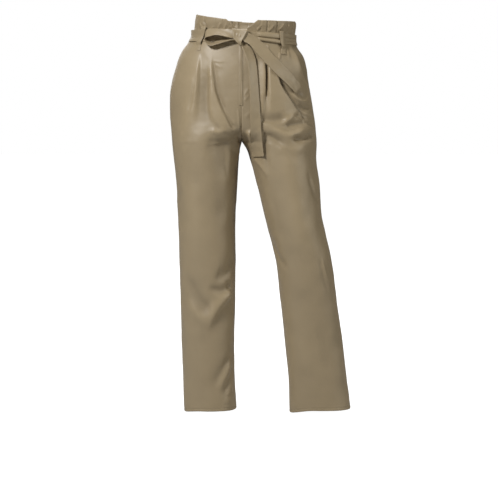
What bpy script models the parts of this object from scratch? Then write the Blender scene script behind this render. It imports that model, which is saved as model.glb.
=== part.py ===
"""Paperbag waist trousers with a tied sash, held as they are when worn.

Metres, +Z up, the front faces -Y, the wearer's right is -X. The origin is the centre of the waist,
at the middle of the sash. Every piece is a thin wall of cloth, lofted through sections: the legs
from the two tables of levels, and what lies on them from the same surface, moved out.
"""
import math
from collections import namedtuple

import bmesh
import bpy
import numpy as np

COLLECTION = "paperbag_waist_trousers"
RIGHT, LEFT = -1, 1                 # the wearer's right and left, as signs of x

# Cloth
CLOTH = 0.0015                      # one layer of coated cloth
HEM_DEPTH = 0.024                   # turned up at the foot, two layers thick
HEM_CLOTH = 0.0026
FRILL_CLOTH = 0.0022                # folded double at the top edge
SASH_CLOTH = 0.0020                 # a tube of cloth pressed flat
SEAM_GAP = 0.0003                   # between pieces that are sewn edge to edge
STEP = 0.0004                       # for slopes of the surface
SHARP_EDGE = math.radians(50)       # edges that turn more than this are drawn sharp

# Levels
WAIST_SEAM = 0.002                  # where the frill is sewn to the panels, under the sash
FORK = -0.249                       # where the legs part
RISE_CURVE = 0.135                  # height over which the centre seam curves under
HEM = -0.926
WAIST_TILT = -0.047                 # the waist is lower on the wearer's left
TILT_FADE = (-0.260, -0.060)        # the tilt is none below and whole above these levels
SECTION_POWER = 2.25                # 2 is an ellipse; more is squarer
OUTLINE_POINTS = 90                 # that a section's outline is measured by

Section = namedtuple("Section", "level outer inner front back")
SECTIONS = {
    RIGHT: [
        Section(0.060, 0.121, 0.000, 0.103, 0.100),
        Section(0.020, 0.121, 0.000, 0.101, 0.099),
        Section(-0.005, 0.125, 0.000, 0.101, 0.100),
        Section(-0.022, 0.134, 0.000, 0.104, 0.102),
        Section(-0.040, 0.147, 0.000, 0.108, 0.105),
        Section(-0.066, 0.159, 0.000, 0.114, 0.110),
        Section(-0.096, 0.168, 0.000, 0.118, 0.116),
        Section(-0.130, 0.175, 0.000, 0.120, 0.122),
        Section(-0.170, 0.178, 0.000, 0.120, 0.127),
        Section(-0.214, 0.176, 0.000, 0.118, 0.126),
        Section(-0.249, 0.173, 0.000, 0.115, 0.119),
        Section(-0.270, 0.171, 0.004, 0.113, 0.114),
        Section(-0.300, 0.168, 0.008, 0.111, 0.108),
        Section(-0.360, 0.162, 0.011, 0.105, 0.098),
        Section(-0.440, 0.159, 0.016, 0.097, 0.086),
        Section(-0.540, 0.156, 0.016, 0.087, 0.076),
        Section(-0.660, 0.154, 0.017, 0.075, 0.074),
        Section(-0.790, 0.151, 0.020, 0.064, 0.076),
        Section(-0.860, 0.149, 0.018, 0.061, 0.075),
        Section(-0.926, 0.147, 0.014, 0.061, 0.074),
    ],
    LEFT: [
        Section(0.060, 0.131, 0.000, 0.103, 0.100),
        Section(0.020, 0.131, 0.000, 0.101, 0.099),
        Section(-0.005, 0.131, 0.000, 0.101, 0.100),
        Section(-0.022, 0.137, 0.000, 0.104, 0.102),
        Section(-0.040, 0.150, 0.000, 0.108, 0.105),
        Section(-0.066, 0.158, 0.000, 0.114, 0.110),
        Section(-0.096, 0.162, 0.000, 0.118, 0.116),
        Section(-0.130, 0.168, 0.000, 0.121, 0.122),
        Section(-0.170, 0.175, 0.000, 0.123, 0.126),
        Section(-0.214, 0.181, 0.000, 0.122, 0.123),
        Section(-0.249, 0.184, 0.000, 0.120, 0.115),
        Section(-0.270, 0.184, 0.010, 0.119, 0.110),
        Section(-0.300, 0.184, 0.020, 0.118, 0.103),
        Section(-0.360, 0.192, 0.037, 0.115, 0.089),
        Section(-0.440, 0.198, 0.056, 0.110, 0.070),
        Section(-0.540, 0.221, 0.082, 0.098, 0.058),
        Section(-0.660, 0.238, 0.097, 0.080, 0.056),
        Section(-0.790, 0.257, 0.111, 0.064, 0.058),
        Section(-0.860, 0.265, 0.118, 0.059, 0.058),
        Section(-0.926, 0.275, 0.120, 0.057, 0.059),
    ],
}

# Creases that are raised or sunk in the cloth. Each runs through three points of the front (face -1)
# or the back (face 1); the height is out of the cloth, the width is from the middle to the side.
Crease = namedtuple("Crease", "side face x0 z0 x1 z1 x2 z2 width height")
CREASES = [
    # the right leg's pleats, released below the waist
    Crease(RIGHT, -1, -0.070, -0.052, -0.066, -0.112, -0.028, -0.208, 0.007, -0.0060),
    Crease(RIGHT, -1, -0.078, -0.052, -0.078, -0.115, -0.044, -0.215, 0.011, 0.0050),
    Crease(RIGHT, -1, -0.098, -0.058, -0.101, -0.115, -0.099, -0.185, 0.010, -0.0060),
    Crease(RIGHT, -1, -0.104, -0.050, -0.114, -0.110, -0.128, -0.170, 0.010, 0.0045),
    # the left leg's pleats
    Crease(LEFT, -1, 0.058, -0.062, 0.059, -0.100, 0.060, -0.145, 0.006, -0.0080),
    Crease(LEFT, -1, 0.049, -0.062, 0.049, -0.100, 0.053, -0.175, 0.010, 0.0055),
    Crease(LEFT, -1, 0.069, -0.064, 0.070, -0.090, 0.080, -0.130, 0.009, 0.0030),
    Crease(LEFT, -1, 0.091, -0.092, 0.108, -0.145, 0.148, -0.190, 0.010, 0.0060),
    Crease(LEFT, -1, 0.102, -0.100, 0.120, -0.145, 0.150, -0.180, 0.008, -0.0060),
    # drag folds about the fork
    Crease(LEFT, -1, 0.048, -0.186, 0.080, -0.184, 0.104, -0.180, 0.010, -0.0045),
    Crease(LEFT, -1, 0.050, -0.208, 0.084, -0.206, 0.120, -0.196, 0.011, 0.0050),
    Crease(LEFT, -1, 0.050, -0.196, 0.078, -0.226, 0.112, -0.244, 0.010, -0.0055),
    Crease(RIGHT, -1, -0.020, -0.212, -0.060, -0.232, -0.120, -0.224, 0.016, -0.0035),
    # behind the knees and under the seat
    Crease(RIGHT, 1, -0.030, -0.260, -0.085, -0.292, -0.150, -0.272, 0.018, -0.0050),
    Crease(LEFT, 1, 0.034, -0.262, 0.095, -0.292, 0.160, -0.272, 0.018, -0.0050),
    Crease(RIGHT, 1, -0.030, -0.520, -0.080, -0.545, -0.140, -0.530, 0.016, -0.0045),
    Crease(LEFT, 1, 0.094, -0.530, 0.145, -0.555, 0.200, -0.536, 0.016, -0.0055),
    Crease(RIGHT, -1, -0.030, -0.745, -0.060, -0.790, -0.110, -0.815, 0.018, -0.0030),
    Crease(LEFT, -1, 0.100, -0.520, 0.140, -0.590, 0.190, -0.640, 0.022, -0.0035),
]
CREASE_TAPER = 0.22                 # of a crease's length, at each end
CREASE_POINTS = 15
SEAM_CALM = 0.012                   # creases fade out this far from a seam

# Columns of the front panels follow the two pleats: offsets from each pleat's line, towards the side
PLEAT_LINES = {RIGHT: ((-0.070, -0.064, -0.040), (-0.098, -0.104, -0.112)),
               LEFT: ((0.058, 0.059, 0.070), (0.097, 0.114, 0.128))}
PLEAT_LEVELS = (-0.050, -0.110, -0.180)
PLEAT_COLUMNS = (-0.007, 0.0, 0.007, 0.014)
PLEAT_FREE = (-0.125, -0.235)       # between these levels the columns spread out evenly
FRONT_SPANS = (4, 2, 4)             # columns before, between and after the pleats
PANEL_ROWS, BACK_COLUMNS = 29, 12
ROW_CROWDING = 1.5                  # rows are closer together towards the waist
LEAST_ROW = 0.010                   # between the last row of the leg and the hem

# Slanted pockets: the mouth as parts of the way from the centre seam to the side seam
POCKET_TOP, POCKET_FOOT = WAIST_SEAM, -0.114
POCKET_MOUTH = {RIGHT: (0.925, 1.0), LEFT: (0.760, 1.0)}
POCKET_CURVE = 1.25                 # 1 is straight
FACING_UNDER, FACING_COLUMNS = 2, 4 # columns under the front panel, and in the mouth
FACING_LEAST, FACING_SEAT, FACING_CLEAR = 0.0012, 0.004, 0.0006

# Fly: a strip lapped over the centre seam
FLY_TOP, FLY_FOOT, FLY_WIDTH = -0.022, -0.166, 0.0105
FLY_ROWS, FLY_COLUMNS = 9, 4
FLY_SHIFT = -0.0025                 # its middle, from the centre seam

# Frill above the waist seam
FRILL_TOPS = {RIGHT: (0.0360, 0.0450, 0.0410), LEFT: (0.0365, 0.0400, 0.0400)}   # front, side, back
FRILL_PARTS = (0.25, 0.8, 2.0)      # where those tops are reached, on the way round
EDGE_WAVE, EDGE_TURNS = 0.0012, 9.0 # the edge rises and falls
NOTCH_HALF_WIDTH, NOTCH_FOOT, NOTCH_CURVE = 0.036, 0.009, 0.9
FRILL_FREE = (0.012, 0.036)         # gathers are flat below and full above these levels
FRILL_FLARE = 0.0035
GATHER_HEIGHT = 0.0036
GATHERS_A_QUARTER, GATHER_COLUMNS, FRILL_ROWS = 7, 5, 4
GATHER_DRIFT = 0.55                 # how unevenly the gathers are spaced

# Sash and the loops that carry it
SASH_WIDTH = 0.028
BAND_LEVEL = -0.004                 # its middle
BAND_OUT = 0.0010                   # from the cloth to the inside of the sash
BAND_COLUMNS, BAND_ROWS = 30, 4
FOLD_STRETCH = (0.034, 0.105)       # the left front stretch that is folded along its length
FOLD_DEPTH, FOLD_FADE = 0.0022, 0.012
LOOP_WIDTH, LOOP_CLOTH, LOOP_CLEAR = 0.0140, 0.0016, 0.0005
LOOP_RISE, LOOP_FLAT, LOOP_ROWS = 0.012, 0.003, 14
BeltLoop = namedtuple("BeltLoop", "name side face top_x foot_x top foot")
BELT_LOOPS = [
    BeltLoop("belt_loop_front_right", RIGHT, -1, 0.091, 0.105, 0.0185, -0.039),
    BeltLoop("belt_loop_front_left", LEFT, -1, 0.093, 0.099, 0.0155, -0.039),
    BeltLoop("belt_loop_back_right", RIGHT, 1, 0.078, 0.080, 0.0180, -0.039),
    BeltLoop("belt_loop_back_left", LEFT, 1, 0.078, 0.080, 0.0180, -0.039),
    BeltLoop("belt_loop_centre_back", LEFT, 1, 0.000, 0.000, 0.0180, -0.039),
]

# The tie in front. A station of a strip gives its two edges, seen from the front, and how far
# each edge stands off the cloth behind it.
Station = namedtuple("Station", "ax az aout bx bz bout crown")
BOW_LOOP = [
    Station(-0.0085, 0.0080, 0.0085, -0.0075, -0.0050, 0.0125, 0.000),
    Station(-0.0170, 0.0105, 0.0080, -0.0160, -0.0045, 0.0150, 0.000),
    Station(-0.0290, 0.0165, 0.0075, -0.0270, 0.0000, 0.0250, 0.002),
    Station(-0.0470, 0.0180, 0.0075, -0.0450, 0.0022, 0.0290, 0.002),
    Station(-0.0660, 0.0195, 0.0080, -0.0640, 0.0022, 0.0290, 0.002),
    Station(-0.0795, 0.0195, 0.0085, -0.0785, -0.0015, 0.0250, 0.001),
    Station(-0.0850, 0.0150, 0.0085, -0.0880, -0.0080, 0.0210, 0.001),
    Station(-0.0850, 0.0065, 0.0075, -0.0880, -0.0155, 0.0210, 0.001),
    Station(-0.0790, -0.0020, 0.0060, -0.0790, -0.0215, 0.0220, 0.001),
    Station(-0.0660, -0.0060, 0.0055, -0.0655, -0.0245, 0.0220, 0.001),
    Station(-0.0460, -0.0050, 0.0055, -0.0450, -0.0215, 0.0200, 0.001),
    Station(-0.0270, -0.0025, 0.0055, -0.0260, -0.0160, 0.0160, 0.000),
    Station(-0.0160, 0.0000, 0.0055, -0.0150, -0.0110, 0.0130, 0.000),
    Station(-0.0085, 0.0010, 0.0050, -0.0075, -0.0090, 0.0110, 0.000),
]
KNOT = [
    Station(-0.0150, 0.0060, 0.0051, 0.0100, 0.0055, 0.0051, 0.000),
    Station(-0.0165, 0.0130, 0.0053, 0.0110, 0.0125, 0.0053, 0.000),
    Station(-0.0178, 0.0168, 0.0090, 0.0118, 0.0163, 0.0090, 0.001),
    Station(-0.0178, 0.0150, 0.0165, 0.0128, 0.0140, 0.0165, 0.002),
    Station(-0.0160, 0.0050, 0.0200, 0.0095, 0.0025, 0.0205, 0.002),
    Station(-0.0125, -0.0055, 0.0205, 0.0045, -0.0075, 0.0210, 0.002),
    Station(-0.0065, -0.0150, 0.0190, 0.0020, -0.0155, 0.0190, 0.001),
    Station(-0.0035, -0.0210, 0.0150, 0.0020, -0.0205, 0.0150, 0.000),
]
HANGING_TAIL = [
    Station(-0.0020, -0.0130, 0.0080, 0.0075, -0.0100, 0.0044, 0.000),
    Station(0.0010, -0.0240, 0.0090, 0.0155, -0.0230, 0.0065, 0.002),
    Station(0.0050, -0.0340, 0.0105, 0.0245, -0.0330, 0.0065, 0.005),
    Station(0.0100, -0.0480, 0.0105, 0.0315, -0.0480, 0.0070, 0.005),
    Station(0.0148, -0.0640, 0.0100, 0.0350, -0.0630, 0.0080, 0.003),
    Station(0.0170, -0.0820, 0.0100, 0.0368, -0.0820, 0.0090, 0.001),
    Station(0.0182, -0.1060, 0.0095, 0.0388, -0.1060, 0.0095, 0.001),
    Station(0.0196, -0.1350, 0.0090, 0.0412, -0.1350, 0.0095, 0.001),
    Station(0.0202, -0.1750, 0.0090, 0.0440, -0.1750, 0.0095, 0.001),
    Station(0.0210, -0.2150, 0.0110, 0.0465, -0.2150, 0.0110, 0.001),
    Station(0.0225, -0.2550, 0.0140, 0.0495, -0.2550, 0.0130, 0.001),
    Station(0.0250, -0.2905, 0.0160, 0.0530, -0.2870, 0.0150, 0.000),
]
SLANTED_TAIL = [
    Station(0.0000, -0.0085, 0.0168, 0.0080, 0.0080, 0.0163, 0.000),
    Station(0.0060, -0.0150, 0.0145, 0.0190, 0.0050, 0.0150, 0.001),
    Station(0.0190, -0.0230, 0.0150, 0.0340, -0.0040, 0.0130, 0.001),
    Station(0.0370, -0.0430, 0.0140, 0.0560, -0.0230, 0.0110, 0.001),
    Station(0.0590, -0.0680, 0.0120, 0.0780, -0.0480, 0.0110, 0.001),
    Station(0.0810, -0.0900, 0.0110, 0.1010, -0.0700, 0.0095, 0.001),
    Station(0.1060, -0.1130, 0.0100, 0.1240, -0.0940, 0.0080, 0.001),
    Station(0.1290, -0.1360, 0.0090, 0.1440, -0.1180, 0.0070, 0.000),
]
STRIP_COLUMNS = 4
STRIP_ROWS = {"sash_bow_loop": 34, "sash_knot": 12, "sash_tail_hanging": 20, "sash_tail_slanted": 14}


def clamp01(value):
    return np.clip(value, 0.0, 1.0)


def ease(low, high, value):
    """0 below low, 1 above high, smooth between them (low may be the greater)."""
    part = clamp01((np.asarray(value, float) - low) / (high - low))
    return part * part * (3.0 - 2.0 * part)


def curve_through(knots, values, at):
    """A smooth curve through (knots, values), with knots rising, read at the places given."""
    knots, values = np.asarray(knots, float), np.asarray(values, float)
    slopes = np.gradient(values, knots, axis=0)
    at = np.clip(np.asarray(at, float), knots[0], knots[-1])
    i = np.clip(np.searchsorted(knots, at) - 1, 0, len(knots) - 2)
    length = knots[i + 1] - knots[i]
    u = (at - knots[i]) / length
    if values.ndim > 1:
        u, length = u[..., None], length[..., None]
    return ((1 + 2 * u) * (1 - u) ** 2 * values[i] + u * (1 - u) ** 2 * length * slopes[i]
            + u * u * (3 - 2 * u) * values[i + 1] + u * u * (u - 1) * length * slopes[i + 1])


def section_at(side, level):
    """Half-width, depth and centre of a leg's outline at one level, and how far it is cut at x = 0."""
    rows = SECTIONS[side][::-1]
    outer, inner, front, back = curve_through([r.level for r in rows], [r[1:] for r in rows], level)
    closed = clamp01((FORK + RISE_CURVE - level) / RISE_CURVE) ** 2     # 0 at the hip, 1 at the fork
    if level > FORK:
        half = outer / (1.0 + closed)
        middle = outer - half
    else:
        half = (outer - inner) / 2
        middle = (outer + inner) / 2
    return half, (front + back) / 2, middle, (back - front) / 2, closed


def ring(side, level, parts):
    """Points of one level. Parts run from 0 at the centre or inner seam, round the front,
    to 1 at the side seam, and on round the back to 2."""
    half, deep, middle, centre_y, closed = section_at(side, level)
    cut = math.atan2(deep * (1 - closed ** SECTION_POWER) ** (1 / SECTION_POWER), half * closed)
    angles = np.linspace(cut, math.pi, OUTLINE_POINTS)
    reach = (np.abs(np.cos(angles) / half) ** SECTION_POWER
             + np.abs(np.sin(angles) / deep) ** SECTION_POWER) ** (-1 / SECTION_POWER)
    across, depth = middle - reach * np.cos(angles), reach * np.sin(angles)
    way = np.concatenate([[0.0], np.cumsum(np.hypot(np.diff(across), np.diff(depth)))])
    parts = np.asarray(parts, float)
    folded = np.where(parts > 1, 2 - parts, parts)
    x = side * np.interp(folded, way / way[-1], across)
    y = centre_y + np.where(parts > 1, 1, -1) * np.interp(folded, way / way[-1], depth)
    return np.stack([x, y, np.full_like(x, level)], axis=-1)


def slope_normals(rows_of, side, level, parts):
    """Outward normals of a surface given row by row."""
    along = rows_of(side, level, parts + STEP) - rows_of(side, level, parts - STEP)
    up = rows_of(side, level + STEP, parts) - rows_of(side, level - STEP, parts)
    normal = np.cross(along, up) * side
    return normal / np.linalg.norm(normal, axis=-1, keepdims=True)


def flat_normals(rows_of, side, level, parts):
    """Outward normals without their rise or fall."""
    normals = slope_normals(rows_of, side, level, parts)
    normals[:, 2] = 0.0
    return normals / np.linalg.norm(normals, axis=-1, keepdims=True)


def depth_at(x, z, face=-1):
    """The y of the plain front (-1) or back (1) at one place."""
    side = RIGHT if x < 0 else LEFT
    half, deep, middle, centre_y, _ = section_at(side, z)
    offset = min(abs(abs(x) - middle) / half, 0.999)
    return centre_y + face * deep * (1 - offset ** SECTION_POWER) ** (1 / SECTION_POWER)


def crease_path(crease):
    """Points along a crease, on the plain cloth."""
    u = np.linspace(0, 1, CREASE_POINTS)
    xz = curve_through([0, 0.5, 1], [(crease.x0, crease.z0), (crease.x1, crease.z1),
                                    (crease.x2, crease.z2)], u)
    return np.array([(x, depth_at(x, z, crease.face), z) for x, z in xz])


CREASE_PATHS = {}


def relief(side, points):
    """How far the creases raise the cloth at some points of the plain surface."""
    if side not in CREASE_PATHS:
        CREASE_PATHS[side] = [(c, crease_path(c)) for c in CREASES if c.side == side]
    total = np.zeros(len(points))
    for crease, path in CREASE_PATHS[side]:
        gaps = np.linalg.norm(points[:, None] - path[None], axis=-1)
        nearest = gaps.argmin(axis=1)
        u = nearest / (len(path) - 1)
        best = gaps[np.arange(len(points)), nearest]
        for step in (-1, 1):            # the foot of the perpendicular, on each neighbouring stretch
            other = np.clip(nearest + step, 0, len(path) - 1)
            stretch = path[other] - path[nearest]
            length = np.maximum(np.linalg.norm(stretch, axis=-1), 1e-9)
            run = np.einsum("ij,ij->i", points - path[nearest], stretch) / length
            inside = (run > 0) & (run < length) & (other != nearest)
            foot = np.sqrt(np.maximum(gaps[np.arange(len(points)), nearest] ** 2 - run ** 2, 0))
            u = np.where(inside & (foot < best), (nearest + step * run / length) / (len(path) - 1), u)
            best = np.where(inside, np.minimum(best, foot), best)
        taper = ease(0, CREASE_TAPER, u) * ease(1, 1 - CREASE_TAPER, u)
        total += crease.height * taper * np.exp(-(best / crease.width) ** 2)
    return total


def seam_calm(side, level, parts):
    """0 on a seam and 1 away from it."""
    points = ring(side, level, np.array([0.0, 0.5, 1.0, 1.5, 2.0]))
    half_girth = np.linalg.norm(np.diff(points, axis=0), axis=-1).sum() / 2
    away = np.minimum.reduce([parts, np.abs(parts - 1), 2 - parts]) * half_girth
    return ease(0.0, SEAM_CALM, away)


def cloth(side, level, parts):
    """Points of the outer face of the cloth, with its creases."""
    parts = np.asarray(parts, float)
    plain = ring(side, level, parts)
    lift = relief(side, plain) * seam_calm(side, level, parts)
    return plain + slope_normals(ring, side, level, parts) * lift[:, None]


def tilted(points):
    """The waist tilted with the hips."""
    points = np.array(points)
    points[..., 2] += WAIST_TILT * points[..., 0] * ease(TILT_FADE[0], TILT_FADE[1], points[..., 2])
    return points


def skin(outside, inside):
    """A wall between two grids of points: faces out, faces in, and a rim round them."""
    rows, columns = outside.shape[:2]
    body = bmesh.new()
    grids = [[[body.verts.new(point) for point in row] for row in grid] for grid in (outside, inside)]
    for grid, flip in zip(grids, (False, True)):
        for i in range(rows - 1):
            for j in range(columns - 1):
                quad = [grid[i][j], grid[i][j + 1], grid[i + 1][j + 1], grid[i + 1][j]]
                body.faces.new(quad[::-1] if flip else quad)
    out, back = grids
    edge = ([(0, j) for j in range(columns - 1)] + [(i, columns - 1) for i in range(rows - 1)]
            + [(rows - 1, j) for j in range(columns - 1, 0, -1)] + [(i, 0) for i in range(rows - 1, 0, -1)])
    for (i, j), (k, m) in zip(edge, edge[1:] + edge[:1]):
        body.faces.new([out[i][j], back[i][j], back[k][m], out[k][m]])
    bmesh.ops.recalc_face_normals(body, faces=body.faces)
    return body


def add_piece(name, body, material, collection):
    mesh = bpy.data.meshes.new(name)
    body.to_mesh(mesh)
    body.free()
    mesh.shade_smooth()
    mesh.set_sharp_from_angle(angle=SHARP_EDGE)
    mesh.materials.append(material)
    piece = bpy.data.objects.new(name, mesh)
    collection.objects.link(piece)
    return piece


def coated_cloth(name, colour):
    material = bpy.data.materials.new(name)
    material.use_nodes = True
    shader = material.node_tree.nodes["Principled BSDF"]
    shader.inputs["Base Color"].default_value = (*colour, 1.0)
    shader.inputs["Roughness"].default_value = 0.45
    shader.inputs["Metallic"].default_value = 0.0
    return material


def wall_rows(side, levels, parts_of, surface=cloth, out=lambda level, parts: 0.0,
              thick=lambda level: CLOTH):
    """Outer and inner grids of a wall that follows the legs' surface, moved out by out()."""
    outside, inside = [], []
    for level in levels:
        parts = parts_of(level)
        points = surface(side, level, parts)
        normals = slope_normals(surface, side, level, parts)
        lift = np.broadcast_to(out(level, parts), parts.shape)[:, None]
        outside.append(points + normals * lift)
        inside.append(points + normals * (lift - thick(level)))
    return tilted(outside), tilted(inside)


def spaced_levels(top, foot, count):
    """Levels from top to foot, closer together at the top."""
    return top + (foot - top) * np.linspace(0, 1, count) ** ROW_CROWDING


def gap_parts(side, level, width=SEAM_GAP / 2):
    """A seam gap as a part of the way round."""
    half_girth = np.linalg.norm(np.diff(ring(side, level, np.linspace(0, 1, 13)), axis=0), axis=-1).sum()
    return width / half_girth


def part_of_x(side, level, x):
    """Where on the front an x lies, as a part of the way to the side seam."""
    parts = np.linspace(0, 1, 60)
    return np.interp(abs(x), np.abs(ring(side, level, parts)[:, 0]), parts)


def pocket_mouth(side, level):
    """The front panel's outer edge: the pocket mouth, then the side seam."""
    at_top, at_foot = POCKET_MOUTH[side]
    down = clamp01((POCKET_TOP - level) / (POCKET_TOP - POCKET_FOOT))
    return at_top + (at_foot - at_top) * down ** POCKET_CURVE


def front_parts(side, level):
    """Columns of a front panel, which follow its two pleats and spread out below them."""
    edge = pocket_mouth(side, level)
    marks = [0.0]
    half_girth = gap_parts(side, level, 1.0) ** -1
    for line, span in zip(PLEAT_LINES[side], FRONT_SPANS):
        x = np.interp(-level, -np.array(PLEAT_LEVELS), line)
        at = part_of_x(side, level, x)
        local = at + np.array(PLEAT_COLUMNS) / half_girth
        marks += list(np.linspace(marks[-1], local[0], span + 1)[1:]) + list(local[1:])
    marks += list(np.linspace(marks[-1], edge, FRONT_SPANS[-1] + 1)[1:])
    even = np.linspace(0, edge, len(marks))
    free = ease(PLEAT_FREE[0], PLEAT_FREE[1], level)
    parts = np.array(marks) * (1 - free) + even * free
    gap = gap_parts(side, level)
    parts[0], parts[-1] = gap, edge - gap
    return parts


def hem_cloth(level):
    return HEM_CLOTH if level < HEM + HEM_DEPTH else CLOTH


def panel_levels(count):
    """Levels of a panel, with a row at the pocket's foot, at the fork and two at the top of the hem."""
    levels = spaced_levels(WAIST_SEAM - SEAM_GAP, HEM, count)
    for level in (POCKET_FOOT, FORK):
        levels[np.abs(levels - level).argmin()] = level
    hem_top = HEM + HEM_DEPTH
    return np.sort(np.append(levels[:-1][levels[:-1] > hem_top + LEAST_ROW],
                             (hem_top + STEP, hem_top - STEP, HEM)))[::-1]


def front_panel(side):
    return skin(*wall_rows(side, panel_levels(PANEL_ROWS), lambda level: front_parts(side, level),
                           thick=hem_cloth))


def back_panel(side):
    def parts_of(level):
        gap = gap_parts(side, level)
        return np.linspace(1 + gap, 2 - gap, BACK_COLUMNS + 1)
    return skin(*wall_rows(side, panel_levels(PANEL_ROWS), parts_of, thick=hem_cloth))


def pocket_facing(side):
    """The side piece that shows in a pocket's mouth. It lies under the front panel, on the panel's
    own columns, and comes out to the side seam."""
    def parts_of(level):
        panel, seam = front_parts(side, level), 1 - gap_parts(side, level)
        mouth = min(pocket_mouth(side, level), seam - gap_parts(side, level, FACING_LEAST))
        return np.append(panel[-1 - FACING_UNDER:-1], np.linspace(mouth, seam, FACING_COLUMNS))

    def out(level, parts):
        seated = 1.0 + gap_parts(side, level, FACING_SEAT)
        return (CLOTH + FACING_CLEAR) * (ease(pocket_mouth(side, level), seated, parts) - 1)
    levels = [level for level in panel_levels(PANEL_ROWS) if level >= POCKET_FOOT - SEAM_GAP]
    return skin(*wall_rows(side, levels, parts_of, out=out))


def frill_top(side, part):
    """The height of the frill's edge, from the centre front (0) to the centre back (2)."""
    plain = np.interp(part, FRILL_PARTS, FRILL_TOPS[side])
    return plain + EDGE_WAVE * np.sin(part * EDGE_TURNS) * ease(FRILL_PARTS[0], 2 * FRILL_PARTS[0], part)


def frill_wave(side, part):
    """The gathers: how far the frill stands out, uneven round the waist."""
    turn = part * GATHERS_A_QUARTER * 2 * math.pi
    drift = GATHER_DRIFT * (np.sin(part * 5.1 + side) + np.sin(part * 11.7 + 2 * side))
    return np.cos(turn + drift) * (0.75 + 0.25 * np.sin(part * 7.3 + side))


def frill_lift(side, level, part):
    """How far the frill stands out from the plain waist."""
    free = ease(FRILL_FREE[0], FRILL_FREE[1], level)
    return free * (FRILL_FLARE + GATHER_HEIGHT * frill_wave(side, part))


def frill_crest(level):
    """The most that the frill stands out at one level."""
    return float(ease(FRILL_FREE[0], FRILL_FREE[1], level)) * (FRILL_FLARE + GATHER_HEIGHT)


def frill(side, first, last):
    """A quarter of the frill, between two parts of the way round."""
    count = int(round((last - first) * GATHERS_A_QUARTER * GATHER_COLUMNS)) + 1
    gap = gap_parts(side, WAIST_SEAM)
    parts = np.linspace(first + gap, last - gap, count)
    girth = gap_parts(side, WAIST_SEAM, 1.0)
    notch = clamp01(parts / (NOTCH_HALF_WIDTH * girth)) ** NOTCH_CURVE
    tops = NOTCH_FOOT + (frill_top(side, parts) - NOTCH_FOOT) * notch
    outside, inside = [], []
    for v in np.linspace(0, 1, FRILL_ROWS + 1):
        levels = WAIST_SEAM + (tops - WAIST_SEAM) * v
        lift = frill_lift(side, levels, parts)
        flat = np.array([ring(side, level, np.array([p]))[0] for level, p in zip(levels, parts)])
        aim = np.array([slope_normals(ring, side, level, np.array([p]))[0]
                        for level, p in zip(levels, parts)])
        aim[:, 2] = 0.0
        aim /= np.linalg.norm(aim, axis=-1, keepdims=True)
        outside.append(flat + aim * lift[:, None])
        inside.append(flat + aim * (lift - FRILL_CLOTH)[:, None])
    return skin(tilted(outside), tilted(inside))


def fly():
    """The strip lapped over the centre front, made from the front's points, moved out."""
    levels = np.linspace(FLY_TOP, FLY_FOOT, FLY_ROWS + 1)
    outside, inside = [], []
    for level in levels:
        row_out, row_in = [], []
        for x in np.linspace(FLY_SHIFT - FLY_WIDTH / 2, FLY_SHIFT + FLY_WIDTH / 2, FLY_COLUMNS + 1):
            y = depth_at(x, level)
            row_out.append((x, y - SEAM_GAP - CLOTH, level))
            row_in.append((x, y - SEAM_GAP, level))
        outside.append(row_out)
        inside.append(row_in)
    return skin(tilted(outside), tilted(inside))


def under_band(side, level, parts):
    """The cloth as the sash lies on it: at each level no narrower than at the sash's middle."""
    inner = np.clip(level, BAND_LEVEL - SASH_WIDTH / 2, BAND_LEVEL + SASH_WIDTH / 2)
    points, there = ring(side, BAND_LEVEL, parts), ring(side, inner, parts)
    normals = flat_normals(ring, side, BAND_LEVEL, parts)
    wider = ((there - points) * normals).sum(axis=-1)
    points += normals * np.maximum(wider, 0.0)[:, None]
    points[:, 2] = level
    return points, normals


def band_fold(side, v, parts):
    """Raised strips along the stretch of the sash that is folded lengthwise."""
    x = np.abs(ring(side, BAND_LEVEL, parts)[:, 0])
    near, far = FOLD_STRETCH
    here = ease(near, near + FOLD_FADE, x) * ease(far, far - FOLD_FADE, x) * (parts < 1) * (side == LEFT)
    return here * FOLD_DEPTH * abs(v)


def band(side):
    """Half of the sash's turn round the waist."""
    gap = gap_parts(side, BAND_LEVEL)
    parts = np.linspace(gap, 2 - gap, BAND_COLUMNS + 1)
    outside, inside = [], []
    for v in np.linspace(-1, 1, BAND_ROWS + 1):
        points, normals = under_band(side, BAND_LEVEL - v * SASH_WIDTH / 2, parts)
        lift = BAND_OUT + band_fold(side, v, parts)[:, None]
        outside.append(points + normals * (lift + SASH_CLOTH))
        inside.append(points + normals * lift)
    return skin(tilted(outside), tilted(inside))


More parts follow.
